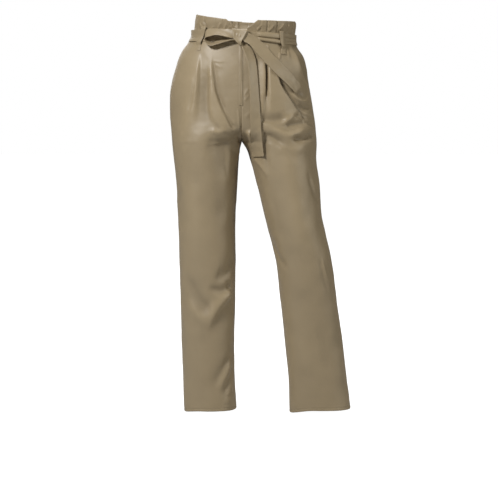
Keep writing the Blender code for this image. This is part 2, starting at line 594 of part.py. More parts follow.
def belt_loop(loop):
    """A strip sewn down at both ends, arched over the sash. Its columns are places on a turn that
    runs on from one leg's surface to the other's, so that one loop can cross the centre back."""
    half = gap_parts(loop.side, BAND_LEVEL, LOOP_WIDTH / 2)
    top, foot = BAND_LEVEL + SASH_WIDTH / 2, BAND_LEVEL - SASH_WIDTH / 2
    outside, inside = [], []
    for level in np.linspace(loop.top, loop.foot, LOOP_ROWS):
        x = loop.foot_x + (loop.top_x - loop.foot_x) * (level - loop.foot) / (loop.top - loop.foot)
        middle = part_of_x(loop.side, level, x)
        middle = 2 - middle if loop.face > 0 else middle
        row_out, row_in = [], []
        for part in middle + half * np.array([-1.0, 0.0, 1.0]):
            side, parts = (-loop.side, np.array([4 - part])) if part > 2 else (loop.side, np.array([part]))
            on_cloth = ring(side, level, parts)
            normals = flat_normals(ring, side, level, parts)
            on_cloth += normals * (max(frill_crest(level), relief(side, on_cloth).max()) + LOOP_CLEAR)
            over_band = under_band(side, level, parts)[0]
            over_band += normals * (BAND_OUT + SASH_CLOTH + LOOP_CLEAR + band_fold(side, 1, parts).max())
            arch = (ease(top + LOOP_RISE, top + LOOP_FLAT, level)
                    * ease(foot - LOOP_RISE, foot - LOOP_FLAT, level))
            base = on_cloth + (over_band - on_cloth) * arch
            row_out.append((base + normals * LOOP_CLOTH)[0])
            row_in.append(base[0])
        outside.append(row_out)
        inside.append(row_in)
    return skin(tilted(outside), tilted(inside))


def strip(name, stations):
    """A length of the sash, from its stations in front of the cloth."""
    knots = np.arange(len(stations))
    rows = curve_through(knots, [tuple(s) for s in stations],
                         np.linspace(0, len(stations) - 1, STRIP_ROWS[name] + 1))
    across = np.linspace(0, 1, STRIP_COLUMNS + 1)
    middle_line = []
    for ax, az, a_out, bx, bz, b_out, crown in rows:
        a = np.array((ax, depth_at(ax, az) - a_out, az))
        b = np.array((bx, depth_at(bx, bz) - b_out, bz))
        middle_line.append([a + (b - a) * v for v in across])
    middle_line = np.array(middle_line)
    along = np.gradient(middle_line, axis=0)
    sideways = np.gradient(middle_line, axis=1)
    normals = np.cross(sideways, along)
    normals /= np.linalg.norm(normals, axis=-1, keepdims=True)
    crowns = rows[:, 6][:, None] * np.sin(across * math.pi)[None]
    middle_line = middle_line + normals * crowns[..., None]
    return skin(middle_line + normals * SASH_CLOTH / 2, middle_line - normals * SASH_CLOTH / 2)


def build():
    for old in list(bpy.data.objects):
        bpy.data.objects.remove(old, do_unlink=True)
    collection = bpy.data.collections.new(COLLECTION)
    bpy.context.scene.collection.children.link(collection)
    taupe = coated_cloth("coated_cloth_taupe", (0.27, 0.225, 0.155))
    facing = coated_cloth("coated_cloth_shaded", (0.22, 0.185, 0.125))
    sash = coated_cloth("sash_cloth", (0.29, 0.24, 0.165))
    pieces = {}
    for side, word in ((RIGHT, "right"), (LEFT, "left")):
        pieces[f"front_{word}"] = (front_panel(side), taupe)
        pieces[f"back_{word}"] = (back_panel(side), taupe)
        pieces[f"pocket_facing_{word}"] = (pocket_facing(side), facing)
        pieces[f"frill_front_{word}"] = (frill(side, 0, 1), taupe)
        pieces[f"frill_back_{word}"] = (frill(side, 1, 2), taupe)
        pieces[f"sash_band_{word}"] = (band(side), sash)
    pieces["fly"] = (fly(), taupe)
    for loop in BELT_LOOPS:
        pieces[loop.name] = (belt_loop(loop), taupe)
    for name, stations in (("sash_knot", KNOT), ("sash_bow_loop", BOW_LOOP),
                           ("sash_tail_hanging", HANGING_TAIL), ("sash_tail_slanted", SLANTED_TAIL)):
        pieces[name] = (strip(name, stations), sash)
    for name, (body, material) in pieces.items():
        add_piece(name, body, material, collection)


build()
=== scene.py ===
import math
from collections import namedtuple

import bpy
import numpy as np
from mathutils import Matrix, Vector


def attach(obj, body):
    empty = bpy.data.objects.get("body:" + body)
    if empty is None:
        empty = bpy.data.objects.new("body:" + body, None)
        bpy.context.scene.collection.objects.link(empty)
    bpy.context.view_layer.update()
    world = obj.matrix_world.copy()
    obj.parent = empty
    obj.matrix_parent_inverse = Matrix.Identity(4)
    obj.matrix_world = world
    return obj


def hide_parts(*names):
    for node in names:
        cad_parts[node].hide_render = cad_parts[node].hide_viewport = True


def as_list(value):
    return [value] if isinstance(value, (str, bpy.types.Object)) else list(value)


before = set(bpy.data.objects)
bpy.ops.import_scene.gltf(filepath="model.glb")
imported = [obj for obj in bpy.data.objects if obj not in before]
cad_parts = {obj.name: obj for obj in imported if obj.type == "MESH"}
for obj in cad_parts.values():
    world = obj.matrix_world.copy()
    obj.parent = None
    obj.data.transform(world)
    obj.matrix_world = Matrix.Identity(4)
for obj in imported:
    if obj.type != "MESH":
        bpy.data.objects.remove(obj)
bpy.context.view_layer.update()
mm = 0.001
right, left = -1, 1   # the wearer's sides, as signs of x
ahead, behind = -1, 1   # the faces, as signs of y
sides = {right: "right", left: "left"}
print("frame loaded:", len(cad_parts), "nodes")


# small helpers

def clamp01(value):
    return np.clip(value, 0.0, 1.0)


def ease(low, high, value):   # 0 below low, 1 above high, smooth between; low may be the greater
    part = clamp01((np.asarray(value, float) - low) / (high - low))
    return part * part * (3.0 - 2.0 * part)


def curveThrough(knots, values, at):   # a smooth curve through the values, knots rising
    knots, values = np.asarray(knots, float), np.asarray(values, float)
    slopes = np.gradient(values, knots, axis=0)
    at = np.clip(np.asarray(at, float), knots[0], knots[-1])
    i = np.clip(np.searchsorted(knots, at) - 1, 0, len(knots) - 2)
    length = knots[i + 1] - knots[i]
    u = (at - knots[i]) / length
    if values.ndim > 1:
        u, length = u[..., None], length[..., None]
    return ((1 + 2 * u) * (1 - u) ** 2 * values[i] + u * (1 - u) ** 2 * length * slopes[i]
            + u * u * (3 - 2 * u) * values[i + 1] + u * u * (u - 1) * length * slopes[i + 1])


def bell(away, width, power=2):   # 1 at nothing away, and falling off on both sides
    return np.exp(-(away / width) ** power)


def ripple(points, size, seed):   # smooth unevenness, about -1 to 1
    dice = np.random.default_rng(seed)
    total = np.zeros(points.shape[:-1])
    for _ in range(12):
        way = dice.normal(size=3)
        way *= 2 * math.pi / (np.linalg.norm(way) * size * dice.uniform(0.7, 1.8))
        total += np.sin(points @ way + dice.uniform(0, 2 * math.pi))
    return total / 3.5


def unit(vectors):
    return vectors / np.maximum(np.linalg.norm(vectors, axis=-1, keepdims=True), 1e-12)


def flatUnit(normals):   # level, and of length 1
    normals[:, 2] = 0
    return unit(normals)


def link(name, data):
    thing = bpy.data.objects.new(name, data)
    bpy.context.scene.collection.objects.link(thing)
    return thing


def give(tree, node, values):   # each input gets a value, or a link from another node's socket
    for key, value in values.items():
        if isinstance(value, bpy.types.NodeSocket):
            tree.links.new(value, node.inputs[key])
        else:
            node.inputs[key].default_value = value
    return node


def addNode(tree, kind, values=None, **settings):
    node = tree.nodes.new(kind)
    for key, value in settings.items():
        setattr(node, key, value)
    return give(tree, node, values or {})


def newMaterial(name, values):   # a material, its tree and its shader
    material = bpy.data.materials.new(name)
    material.use_nodes = True
    tree = material.node_tree
    return material, tree, give(tree, tree.nodes["Principled BSDF"], values)


# camera, floor and lights

studio = {
    "eye": (0.0175, -3.5, -0.10), "aim": (0.0175, 0.0, -0.525), "viewWidth": 1.245,
    "floorLevel": -0.9425, "floorSize": 24.0,
    "floorLook": {"Base Color": (0.42, 0.42, 0.42, 1), "Roughness": 0.9, "Emission Color": (1, 1, 1, 1)},
    "skySeen": {"Color": (1, 1, 1, 1), "Strength": 1.0},
    "skyLight": {"Color": (1, 0.97, 0.86, 1), "Strength": 0.10},
}
lamp = namedtuple("lamp", "name place aim size power tint", defaults=((1, 1, 1),))
lamps = [
    lamp("keySoftbox", (-2.0, -2.6, 2.0), (0.0, 0.0, -0.35), 0.7, 136),
    lamp("fillSoftbox", (3.1, -1.5, 0.5), (0.05, 0.0, -0.4), 1.6, 34, (1, 0.97, 0.88)),
    lamp("topSoftbox", (0.2, 0.6, 2.2), (0.05, 0.0, -0.4), 1.4, 26),
    lamp("backSoftbox", (-0.8, 2.9, 0.9), (0.05, 0.0, -0.4), 1.8, 26),
]


def aimed(name, data, place, aim):
    thing = link(name, data)
    thing.location = place
    thing.rotation_euler = (Vector(aim) - Vector(place)).to_track_quat("-Z", "Y").to_euler()
    return thing


def setStudio():
    scene = bpy.context.scene
    scene.view_settings.view_transform = "Standard"
    lens = bpy.data.cameras.new("camera")
    away = (Vector(studio["aim"]) - Vector(studio["eye"])).length
    lens.angle = 2 * math.atan(studio["viewWidth"] / 2 / away)
    scene.camera = aimed("camera", lens, studio["eye"], studio["aim"])
    for row in lamps:
        light = bpy.data.lights.new(row.name, "AREA")
        light.size, light.energy, light.color = row.size, row.power, row.tint
        aimed(row.name, light, row.place, row.aim)
    world = bpy.data.worlds.new("paleStudio")
    world.use_nodes = True
    scene.world = world
    tree = world.node_tree
    tree.nodes.clear()
    lit = addNode(tree, "ShaderNodeBackground", studio["skyLight"])
    seen = addNode(tree, "ShaderNodeBackground", studio["skySeen"])
    ray = addNode(tree, "ShaderNodeLightPath").outputs["Is Camera Ray"]
    mix = addNode(tree, "ShaderNodeMixShader", {0: ray, 1: lit.outputs[0], 2: seen.outputs[0]})
    addNode(tree, "ShaderNodeOutputWorld", {"Surface": mix.outputs[0]})
    half, level = studio["floorSize"] / 2, studio["floorLevel"]
    mesh = bpy.data.meshes.new("floor")
    mesh.from_pydata([(-half, -half, level), (half, -half, level), (half, half, level), (-half, half, level)],
                     [], [(0, 1, 2, 3)])
    pale, tree, shader = newMaterial("paleFloor", studio["floorLook"])
    # bright to the camera as far as the floor runs
    give(tree, shader, {"Emission Strength": addNode(tree, "ShaderNodeLightPath").outputs["Is Camera Ray"]})
    mesh.materials.append(pale)
    link("floor", mesh)


setStudio()
print("studio set")


# the form of the legs: outlines by level, in millimetres

legForm = {
    "power": 2.25, "fork": -256 * mm, "forkSoft": 0.6, "rise": 135 * mm, "hem": -926 * mm,
    "waistSeam": 2 * mm, "tilt": -0.047, "tiltFade": (-260 * mm, -60 * mm), "points": 360, "step": 0.4 * mm,
}
legRows = {   # level, outer, inner, front and back
    right: (
        (60, 108, 0, 103, 100), (20, 115, 0, 101, 99), (-5, 122, 0, 101, 100), (-22, 131, 0, 104, 102),
        (-40, 144, 0, 108, 105), (-66, 156.5, 0, 114, 110), (-96, 166.5, 0, 118, 116),
        (-130, 175, 0, 120, 122), (-170, 178, 0, 120, 127), (-214, 176, 0, 118, 126),
        (-256, 172.5, 0, 114.5, 117.5), (-276, 170.5, 5, 112.7, 113), (-300, 168, 8, 111, 108),
        (-360, 162, 11, 105, 98), (-440, 159, 16, 97, 86), (-540, 156, 16, 87, 76), (-660, 154, 17, 75, 74),
        (-790, 151, 20, 64, 76), (-860, 149, 18, 61, 75), (-926, 147, 14, 61, 74),
    ),
    left: (
        (60, 131, 0, 103, 100), (20, 131, 0, 101, 99), (-5, 131, 0, 101, 100), (-22, 137, 0, 104, 102),
        (-40, 150, 0, 108, 105), (-66, 158, 0, 114, 110), (-96, 162, 0, 118, 116), (-130, 168, 0, 121, 122),
        (-170, 175, 0, 123, 126), (-214, 181, 0, 122, 123), (-256, 184, 0, 119.8, 113.5),
        (-276, 184, 12, 118.8, 108.5), (-300, 184, 20, 118, 103), (-360, 192, 37, 115, 89),
        (-440, 198, 56, 110, 70), (-540, 221, 82, 98, 58), (-660, 238, 97, 80, 56),
        (-790, 257, 111, 64, 58), (-860, 265, 118, 59, 58), (-926, 275, 120, 57, 59),
    ),
}


def sectionAt(side, level):   # half-width, depth and centre of an outline, and how far x = 0 cuts it
    rows = np.array(legRows[side][::-1]) * mm
    outer, inner, front, back = curveThrough(rows[:, 0], rows[:, 1:], level)
    fork, rise, soft = legForm["fork"], legForm["rise"], legForm["forkSoft"]
    apart = 1 - clamp01((fork + rise - level) / rise) ** 4
    closed = 1 - apart ** 2 * (1 + soft) / (apart + soft)
    half = outer / (1 + closed) if level > fork else (outer - inner) / 2
    return half, (front + back) / 2, outer - half, (back - front) / 2, closed


outlines = {}


def outlineAt(side, level):   # way along one half outline, from the centre or inner seam to the side seam
    key = (side, round(float(level), 7))
    if key not in outlines:
        half, deep, middle, centreY, closed = sectionAt(side, level)
        power = legForm["power"]
        cut = math.atan2(deep * (1 - closed ** power) ** (1 / power), half * closed)
        angles = np.linspace(cut, math.pi, legForm["points"])
        reach = np.abs(np.cos(angles) / half) ** power + np.abs(np.sin(angles) / deep) ** power
        reach = reach ** (-1 / power)
        across, depth = middle - reach * np.cos(angles), reach * np.sin(angles)
        way = np.concatenate([[0.0], np.cumsum(np.hypot(np.diff(across), np.diff(depth)))])
        outlines[key] = way, across, depth, centreY
    return outlines[key]


def halfGirth(side, level):
    return outlineAt(side, level)[0][-1]


def wayOfX(side, level, x):   # from the side seam to where an x lies on the front or the back
    way, across, _, _ = outlineAt(side, level)
    return way[-1] - np.interp(abs(x), across, way)


def plainPoints(side, level, reach):   # reach runs from the side seam, below 0 on the front, above 0 behind
    way, across, depth, centreY = outlineAt(side, level)
    reach = np.asarray(reach, float)
    at = np.clip(way[-1] - np.abs(reach), 0, way[-1])
    x = side * np.interp(at, way, across)
    y = centreY + np.where(reach > 0, 1, -1) * np.interp(at, way, depth)
    return np.stack([x, y, np.full_like(x, level)], axis=-1)


def plainWithNormals(side, level, reach):
    step = legForm["step"]
    along = plainPoints(side, level, reach + step) - plainPoints(side, level, reach - step)
    up = plainPoints(side, level + step, reach) - plainPoints(side, level - step, reach)
    return plainPoints(side, level, reach), unit(np.cross(along, up) * side)


def depthAt(x, z, face):   # the y of the plain cloth ahead or behind
    half, deep, middle, centreY, _ = sectionAt(right if x < 0 else left, z)
    offset = min(abs(abs(x) - middle) / half, 0.999)
    return centreY + face * deep * (1 - offset ** legForm["power"]) ** (1 / legForm["power"])


def tiltAt(x, z):   # the waist tilts with the hips
    return legForm["tilt"] * x * ease(*legForm["tiltFade"], z)


def tilted(points):
    points = np.array(points)
    points[..., 2] += tiltAt(points[..., 0], points[..., 2])
    return points


# folds, in millimetres. Each path gives x and z in turn, as seen from the front or the back. before is
# the width on the left of a path that runs down, or below one that runs to the right, and after the
# other. Then come the height, how crisp the fold is, and how it fades in and out.

foldRow = namedtuple("foldRow", "path before after height crisp fadeIn fadeOut", defaults=(2, 0.25, 0.3))
frontFolds = [
    # the wearer's right: beside the pleats
    ((-105, -86, -113, -124, -120, -158, -128, -196), 5, 5, -1.9),
    ((-84, -66, -84, -106, -84, -141, -82, -177, -79, -205, -76, -235, -72, -265), 18, 7, -6, 2, 0.3, 0.75),
    ((-70, -50, -67, -88, -61, -129, -53, -153, -43.5, -177, -34, -196, -26, -212, -16, -226),
     2.6, 9, -4.4, 1.7, 0.15, 0.12),
    ((-46, -168, -34, -186, -22, -204, -10, -218), 5, 5, 1.6),
    # the pool where the pleats run out above the thigh
    ((-80, -220, -70, -226, -58, -229, -46, -226, -36, -218), 7, 8, 3.2, 2, 0.35, 0.25),
    ((-88, -252, -72, -254, -52, -255, -36, -252), 32, 12, -4.6, 2, 0.4, 0.4),
    ((-150, -184, -124, -185, -100, -188), 34, 16, 2.8, 2, 0.4, 0.5),
    # puckers where the pleats start
    ((-94, -36, -82, -48, -74, -58), 7, 8, 0.4, 2, 0.4, 0.4),
    ((-69, -59, -54, -62, -38, -61), 2.4, 2.8, 0.9, 2, 0.15, 0.5),
    ((-66, -67, -54, -73, -44, -78), 3, 3, 1, 2, 0.2, 0.5),
    # pulls at the fork
    ((-9, -170, -6, -200, -4, -236), 2.5, 2.5, 1.3),
    ((-40, -244, -38, -285, -37, -350), 32, 9, -6.6, 2, 0.25, 0.4),
    ((-14, -240, -13, -280, -13, -330), 14, 5, 8, 2, 0.2, 0.6),
    # at the knee
    ((-72, -582, -55, -587, -38, -580, -28, -565, -21, -544), 10, 22, -5.4, 2, 0.3, 0.12),
    ((-86, -612, -68, -619, -50, -623, -35, -618, -25, -604), 5, 13, -6, 2, 0.3, 0.12),
    ((-90, -735, -80, -702, -68, -674, -53, -652, -39, -638, -27, -624), 9, 16, 6.6, 2, 0.4, 0.1),
    ((-76, -756, -62, -716, -49, -688, -36, -669, -22, -655), 28, 16, -4.4, 2, 0.4, 0.1),
    ((-140, -570, -122, -613, -104, -645, -86, -661, -70, -664), 17, 15, -5.4),
    ((-137, -630, -119, -667, -100, -688, -82, -692), 15, 10, 3),
    # above the hem
    ((-26, -800, -35, -824, -47, -849, -63, -880), 7, 6, 3.4),
    ((-27, -788, -42, -812, -57, -838, -74, -868), 13, 6, -3),
    ((-19, -812, -29, -844, -39, -868, -50, -890), 5.5, 8, -2.6),
    ((-21, -856, -32, -878, -42, -890), 3, 3, 2.2),
    ((-18, -886, -34, -900, -50, -906), 3, 3, 2),
    # down the leg
    ((-112, -330, -116, -420, -108, -520), 24, 28, 2.6),
    ((-60, -300, -54, -380, -50, -470), 16, 16, -1.8),
    # the wearer's left: the slit between the fat lips of the inner pleat
    ((59.5, -60, 60.2, -80, 60.2, -105, 59.4, -130, 58.4, -152), 2, 2.6, -6.4, 1.8, 0.2, 0.4),
    ((59, -128, 58, -163, 60, -194), 5, 6, -2.2),
    # beside the outer pleat
    ((89, -98, 98, -120, 112, -143, 128, -166, 144, -186, 160, -206), 3, 10, -6.4, 1.8, 0.15, 0.25),
    ((116, -132, 134, -151, 151, -156, 167, -147), 4, 5, 4),
    ((122, -122, 134, -136, 150, -142), 6, 8, -5),
    ((136, -164, 153, -174, 171, -170), 4.5, 6, -5.2),
    ((127, -185, 141, -196, 157, -205), 6, 8, -3.6, 2, 0.2, 0.3),
    ((145, -180, 160, -190, 175, -196), 3.5, 3.5, 2.8),
    ((150, -203, 164, -212, 176, -222), 5, 5, -2.6),
    # drag folds about the fork
    ((44, -197, 64, -200, 86, -200, 106, -195), 7, 14, -6.8, 2, 0.15, 0.15),
    ((96, -210, 108, -204, 118, -193, 122, -180), 5, 6, 3.6),
    ((104, -213, 124, -211, 144, -209, 160, -212), 5, 8, -4.6, 2, 0.15, 0.3),
    ((42, -204, 68, -217, 91, -228, 112, -237, 136, -231, 158, -220), 9, 8, 5.4, 2, 0.45, 0.2),
    ((46, -233, 68, -243, 91, -253, 112, -262), 10, 9, -5, 2, 0.1, 0.5),
    ((120, -240, 137, -245, 157, -243, 178, -235), 9, 8, -7.6, 2, 0.25, 0.1),
    ((54, -230, 82, -246, 111, -273, 134, -304), 6, 9, -2.6),
    ((84, -258, 118, -272, 160, -262), 12, 9, 2.2),
    ((50, -222, 55, -262, 60, -298, 68, -330), 5, 10, -3.6, 2, 0.25, 0.35),
    ((26, -292, 46, -312, 70, -344), 6, 7, 2.6),
    ((17, -222, 23, -240, 28, -262), 8, 5, 8),
    ((6, -146, 11, -135, 18, -124), 3, 3.2, 1.1),
    ((6, -156, 12, -147, 20, -140), 3, 3.2, 1),
    ((8, -196, 16, -186, 26, -180), 4, 4, 1),
    # puckers under the sash
    ((92, -38, 91, -48, 90, -60), 3, 3, 2.2),
    ((62, -20, 64, -32, 66, -44), 2.8, 3.2, 2),
    ((56, -18, 56, -28, 56, -38), 2, 2.6, -1.4),
    ((44, -26, 46, -36, 46, -50), 3, 3, 1.2),
    ((108, -26, 112, -40, 114, -58), 4, 4, 1.2),
    # down the leg
    ((99, -258, 119, -358, 136, -456, 148, -556), 22, 26, 3.4),
    ((159, -322, 171, -363, 181, -393, 194, -414), 7, 5, -3),
    ((70, -360, 86, -430, 98, -500), 12, 14, -2),
    ((74, -505, 95, -545, 118, -566), 9, 11, -2.8, 2, 0.1, 0.5),
    ((196, -535, 202, -562, 210, -590, 222, -616), 3, 2.2, 1.8),
    ((190, -535, 197, -569, 206, -600, 219, -628), 6, 3, -1.8),
    ((120, -640, 150, -740, 170, -850), 26, 22, 2),
    ((186, -690, 206, -770, 216, -850), 12, 14, -1.8),
]
backFolds = [
    # the wearer's right
    ((-24, -214, -52, -262, -96, -284, -140, -276), 12, 14, -4.6, 2, 0.25, 0.35),
    ((-30, -246, -70, -292, -118, -304), 9, 10, 4, 2, 0.3, 0.4),
    ((-22, -286, -52, -322, -92, -336), 9, 9, -3.6, 2, 0.25, 0.4),
    ((-44, -44, -46, -70, -44, -104), 3, 6, -3.4, 2, 0.1, 0.6),
    ((-96, -40, -100, -66, -106, -98), 3, 6, -2.6, 2, 0.1, 0.6),
    ((-40, -520, -74, -548, -124, -536), 10, 12, -5.4),
    ((-36, -556, -78, -580, -126, -566), 9, 8, 4.4),
    ((-44, -598, -80, -610, -116, -596), 9, 8, -4.4),
    ((-50, -630, -82, -640, -112, -626), 8, 9, 3),
    ((-130, -640, -96, -664, -64, -700), 10, 9, -2.6),
    ((-38, -790, -66, -836, -92, -872), 9, 7, 3.2),
    ((-58, -770, -84, -812, -112, -846), 9, 7, -3),
    # the wearer's left
    ((26, -214, 60, -264, 108, -284, 152, -276), 12, 14, -4.6, 2, 0.25, 0.35),
    ((34, -248, 78, -292, 126, -302), 9, 10, 4, 2, 0.3, 0.4),
    ((34, -290, 66, -324, 104, -338), 9, 9, -3.6, 2, 0.25, 0.4),
    ((46, -44, 48, -70, 46, -104), 6, 3, -3.4, 2, 0.1, 0.6),
    ((98, -40, 102, -66, 108, -98), 6, 3, -2.6, 2, 0.1, 0.6),
    ((96, -510, 140, -544, 192, -532), 10, 12, -5.6),
    ((100, -548, 144, -574, 200, -560), 9, 8, 4.6),
    ((110, -586, 150, -606, 198, -594), 9, 8, -4.6),
    ((118, -620, 152, -636, 196, -624), 8, 9, 3),
    ((220, -650, 186, -676, 150, -716), 10, 9, -2.6),
    ((128, -780, 154, -828, 186, -862), 9, 7, 3),
]
frillFront = [
    # the wearer's right
    ((-92, 38, -86, 28, -82, 16), 2, 2.6, -1.6, 1.8),
    ((-101, 34, -97, 24, -95, 14), 4, 3, 1.6),
    ((-57, 14, -53, 22, -48, 31), 2, 2.4, 1.6),
    ((-43, 13, -39, 20, -35, 28), 1.8, 2.2, 1.5),
    ((-74, 12, -70, 18, -64, 24), 2.2, 2.4, 1.2),
    ((-32, 12, -30, 17, -25, 23), 1.6, 2, 1.3),
    # the wearer's left
    ((36, 12, 42, 18, 49, 28), 2, 2.6, 2),
    ((63, 10, 70, 16, 77, 26), 2, 3, 2.2),
    ((87, 12, 94, 20, 101, 31), 2, 2.8, 2),
    ((106, 12, 110, 20, 111, 30), 2.2, 2.2, 1.4),
]
frillBack = [
    # the wearer's right
    ((-60, 14, -66, 24, -68, 34), 2.4, 2.2, 1.6),
    ((-22, 14, -18, 24, -20, 34), 2.4, 2.2, 1.4),
    # the wearer's left
    ((40, 14, 36, 24, 38, 34), 2.4, 2.2, 1.6),
    ((86, 14, 92, 24, 90, 34), 2.4, 2.2, 1.4),
]

# pleats: cloth that stands out between two edges. Each row gives the level, then an edge and the
# width of its slope twice, seen from left to right, and the height.

lobes = {
    right: [
        [(-40, -120, 20, -100, 4, 0), (-72, -124, 24, -101, 4, 4.8), (-110, -128, 27, -104, 4.6, 7.4),
         (-153, -131, 27, -107, 5.4, 6.8), (-184, -134, 25, -110, 7, 4.4), (-216, -138, 22, -113, 12, 2),
         (-246, -140, 22, -116, 14, 0)],
        [(-24, -78, 6, -70.5, 3, 0), (-50, -77, 8, -69.5, 3.4, 0.3), (-72, -77.5, 8, -68, 3, 1.7),
         (-94, -78, 6, -65.5, 2.8, 5.4), (-129, -78.5, 6, -61, 3, 6.6), (-153, -79, 6, -54.5, 3.2, 6.8),
         (-177, -77, 6, -44.5, 3.6, 6.2), (-196, -70, 7, -35, 4.2, 5), (-212, -58, 8, -28, 4.4, 4.2),
         (-224, -48, 8, -21, 6, 2.4), (-234, -42, 8, -18, 8, 0)],
    ],
    left: [
        [(-50, 46, 9, 57, 2.2, 0), (-66, 46, 9.5, 57, 2.2, 4), (-94, 46, 10, 57, 2.4, 6.2),
         (-129, 46, 10, 57, 3, 5.4), (-165, 44, 11, 57, 6, 3.2), (-205, 40, 12, 56, 9, 0)],
        [(-48, 62, 2.2, 84, 5, 0), (-66, 62.5, 2.4, 87, 4.5, 3.6), (-94, 63, 2.8, 86.5, 4, 6.2),
         (-117, 63.5, 3.4, 94.5, 4.4, 7.4), (-141, 63.5, 5, 109.5, 4.4, 7.2), (-165, 61, 9, 126.5, 4.4, 6),
         (-184, 60, 13, 140, 4.6, 4.6), (-200, 60, 15, 152, 5, 2.6), (-216, 60, 16, 164, 6, 0)],
    ],
}


def foldPaths(folds, spacing=2.5 * mm):   # each side's folds, with their paths laid on the cloth
    paths = {right: [], left: []}
    for face, rows in folds.items():
        for fold in (foldRow(*row) for row in rows):
            corners = np.reshape(fold.path, (-1, 2)) * mm
            length = np.linalg.norm(np.diff(corners, axis=0), axis=1).sum()
            count = int(max(8, length / spacing))
            run = curveThrough(np.arange(len(corners)), corners, np.linspace(0, len(corners) - 1, count))
            x, level = run[:, 0], run[:, 1] - tiltAt(run[:, 0], run[:, 1])
            laid = np.array([(a, depthAt(a, z, face), z) for a, z in zip(x, level)])
            paths[right if x[0] < 0 else left].append((fold, laid))
    return paths


def foldLift(points, normals, paths):   # how far the folds raise the plain cloth
    lift = np.zeros(len(points))
    for fold, path in paths:
        spread = 3 * max(fold.before, fold.after) * mm
        near = np.flatnonzero(((points > path.min(0) - spread) & (points < path.max(0) + spread)).all(1))
        if not len(near):
            continue
        here, run = points[near], np.diff(path, axis=0)
        t = clamp01(np.einsum("pkj,kj->pk", here[:, None] - path[:-1], run) / (run ** 2).sum(1))
        gap = here[:, None] - (path[:-1] + t[..., None] * run)
        square = (gap ** 2).sum(2)
        best = square.argmin(1)
        rows = np.arange(len(here))
        u = (best + t[rows, best]) / len(run)
        after = np.einsum("pj,pj->p", gap[rows, best], np.cross(normals[near], run[best])) > 0
        width = np.where(after, fold.after, fold.before) * mm
        shape = bell(np.sqrt(square[rows, best]), width, fold.crisp)
        lift[near] += fold.height * mm * ease(0, fold.fadeIn, u) * ease(1, 1 - fold.fadeOut, u) * shape
    return lift


def lobeLift(side, points, reach):
    lift = np.zeros(len(points))
    x, level = points[:, 0], points[:, 2] + tiltAt(points[:, 0], points[:, 2])
    for rows in lobes[side]:
        table = np.array(rows, float)[::-1] * mm
        if level.max() < table[0, 0] or level.min() > table[-1, 0]:
            continue
        start, startSlope, end, endSlope, height = (
            np.interp(level, table[:, 0], column) for column in table.T[1:])
        lift += height * ease(-1, 1, (x - start) / startSlope) * ease(-1, 1, (end - x) / endSlope)
    return lift * (reach < 0)


clothFinish = {   # size, height and seed of the unevenness, then the seams
    "ripples": ((52 * mm, 0.55 * mm, 3), (15 * mm, 0.10 * mm, 8)),
    "seamCalm": 9 * mm, "rollDepth": 0.6 * mm, "rollWidth": 1.2 * mm,
}
hemDrops = {right: (11.5 * mm, 5 * mm), left: (3 * mm, 14 * mm)}   # at the side seam and at the inner seam
hemEase = {"side": 0.42, "inner": 0.58, "height": 90 * mm}
legPaths = foldPaths({ahead: frontFolds, behind: backFolds})
frillPaths = foldPaths({ahead: frillFront, behind: frillBack})


def hemDrop(side, level, reach):
    away = np.abs(reach) / halfGirth(side, level)
    sideDrop, innerDrop = hemDrops[side]
    share = sideDrop * ease(hemEase["side"], 0.0, away) + innerDrop * ease(hemEase["inner"], 1.0, away)
    return share * ease(legForm["hem"] + hemEase["height"], legForm["hem"], level)


def clothPoints(side, level, reach, out=0.0):   # points of the cloth's outer face, moved out
    reach = np.atleast_1d(np.asarray(reach, float))
    points, normals = plainWithNormals(side, level, reach)
    away = np.minimum(np.abs(reach), halfGirth(side, level) - np.abs(reach))
    lift = foldLift(points, normals, legPaths[side]) + lobeLift(side, points, reach)
    for size, height, seed in clothFinish["ripples"]:
        lift = lift + height * ripple(points, size, seed)
    lift = lift * ease(0, clothFinish["seamCalm"], away)   # calm at the seams
    points = points + normals * (lift + out)[:, None]
    points[:, 2] -= hemDrop(side, level, reach)
    return points, normals, lift


print("form and folds ready:", len(frontFolds) + len(backFolds), "folds")


# meshes: a wall is closed round its edges, with the rows' two ends rounded

def halfRound(a, b, aBefore, bBefore, count):
    middle, arm = (a + b) / 2, (a - b) / 2
    onward = (a + b) - (aBefore + bBefore)
    armDirection = unit(arm)
    onward = unit(onward - (onward * armDirection).sum(-1, keepdims=True) * armDirection)
    size = np.linalg.norm(arm, axis=-1, keepdims=True)
    turns = np.pi * np.arange(1, count + 1) / (count + 1)
    return np.array([middle + arm * math.cos(t) + onward * size * math.sin(t) for t in turns])


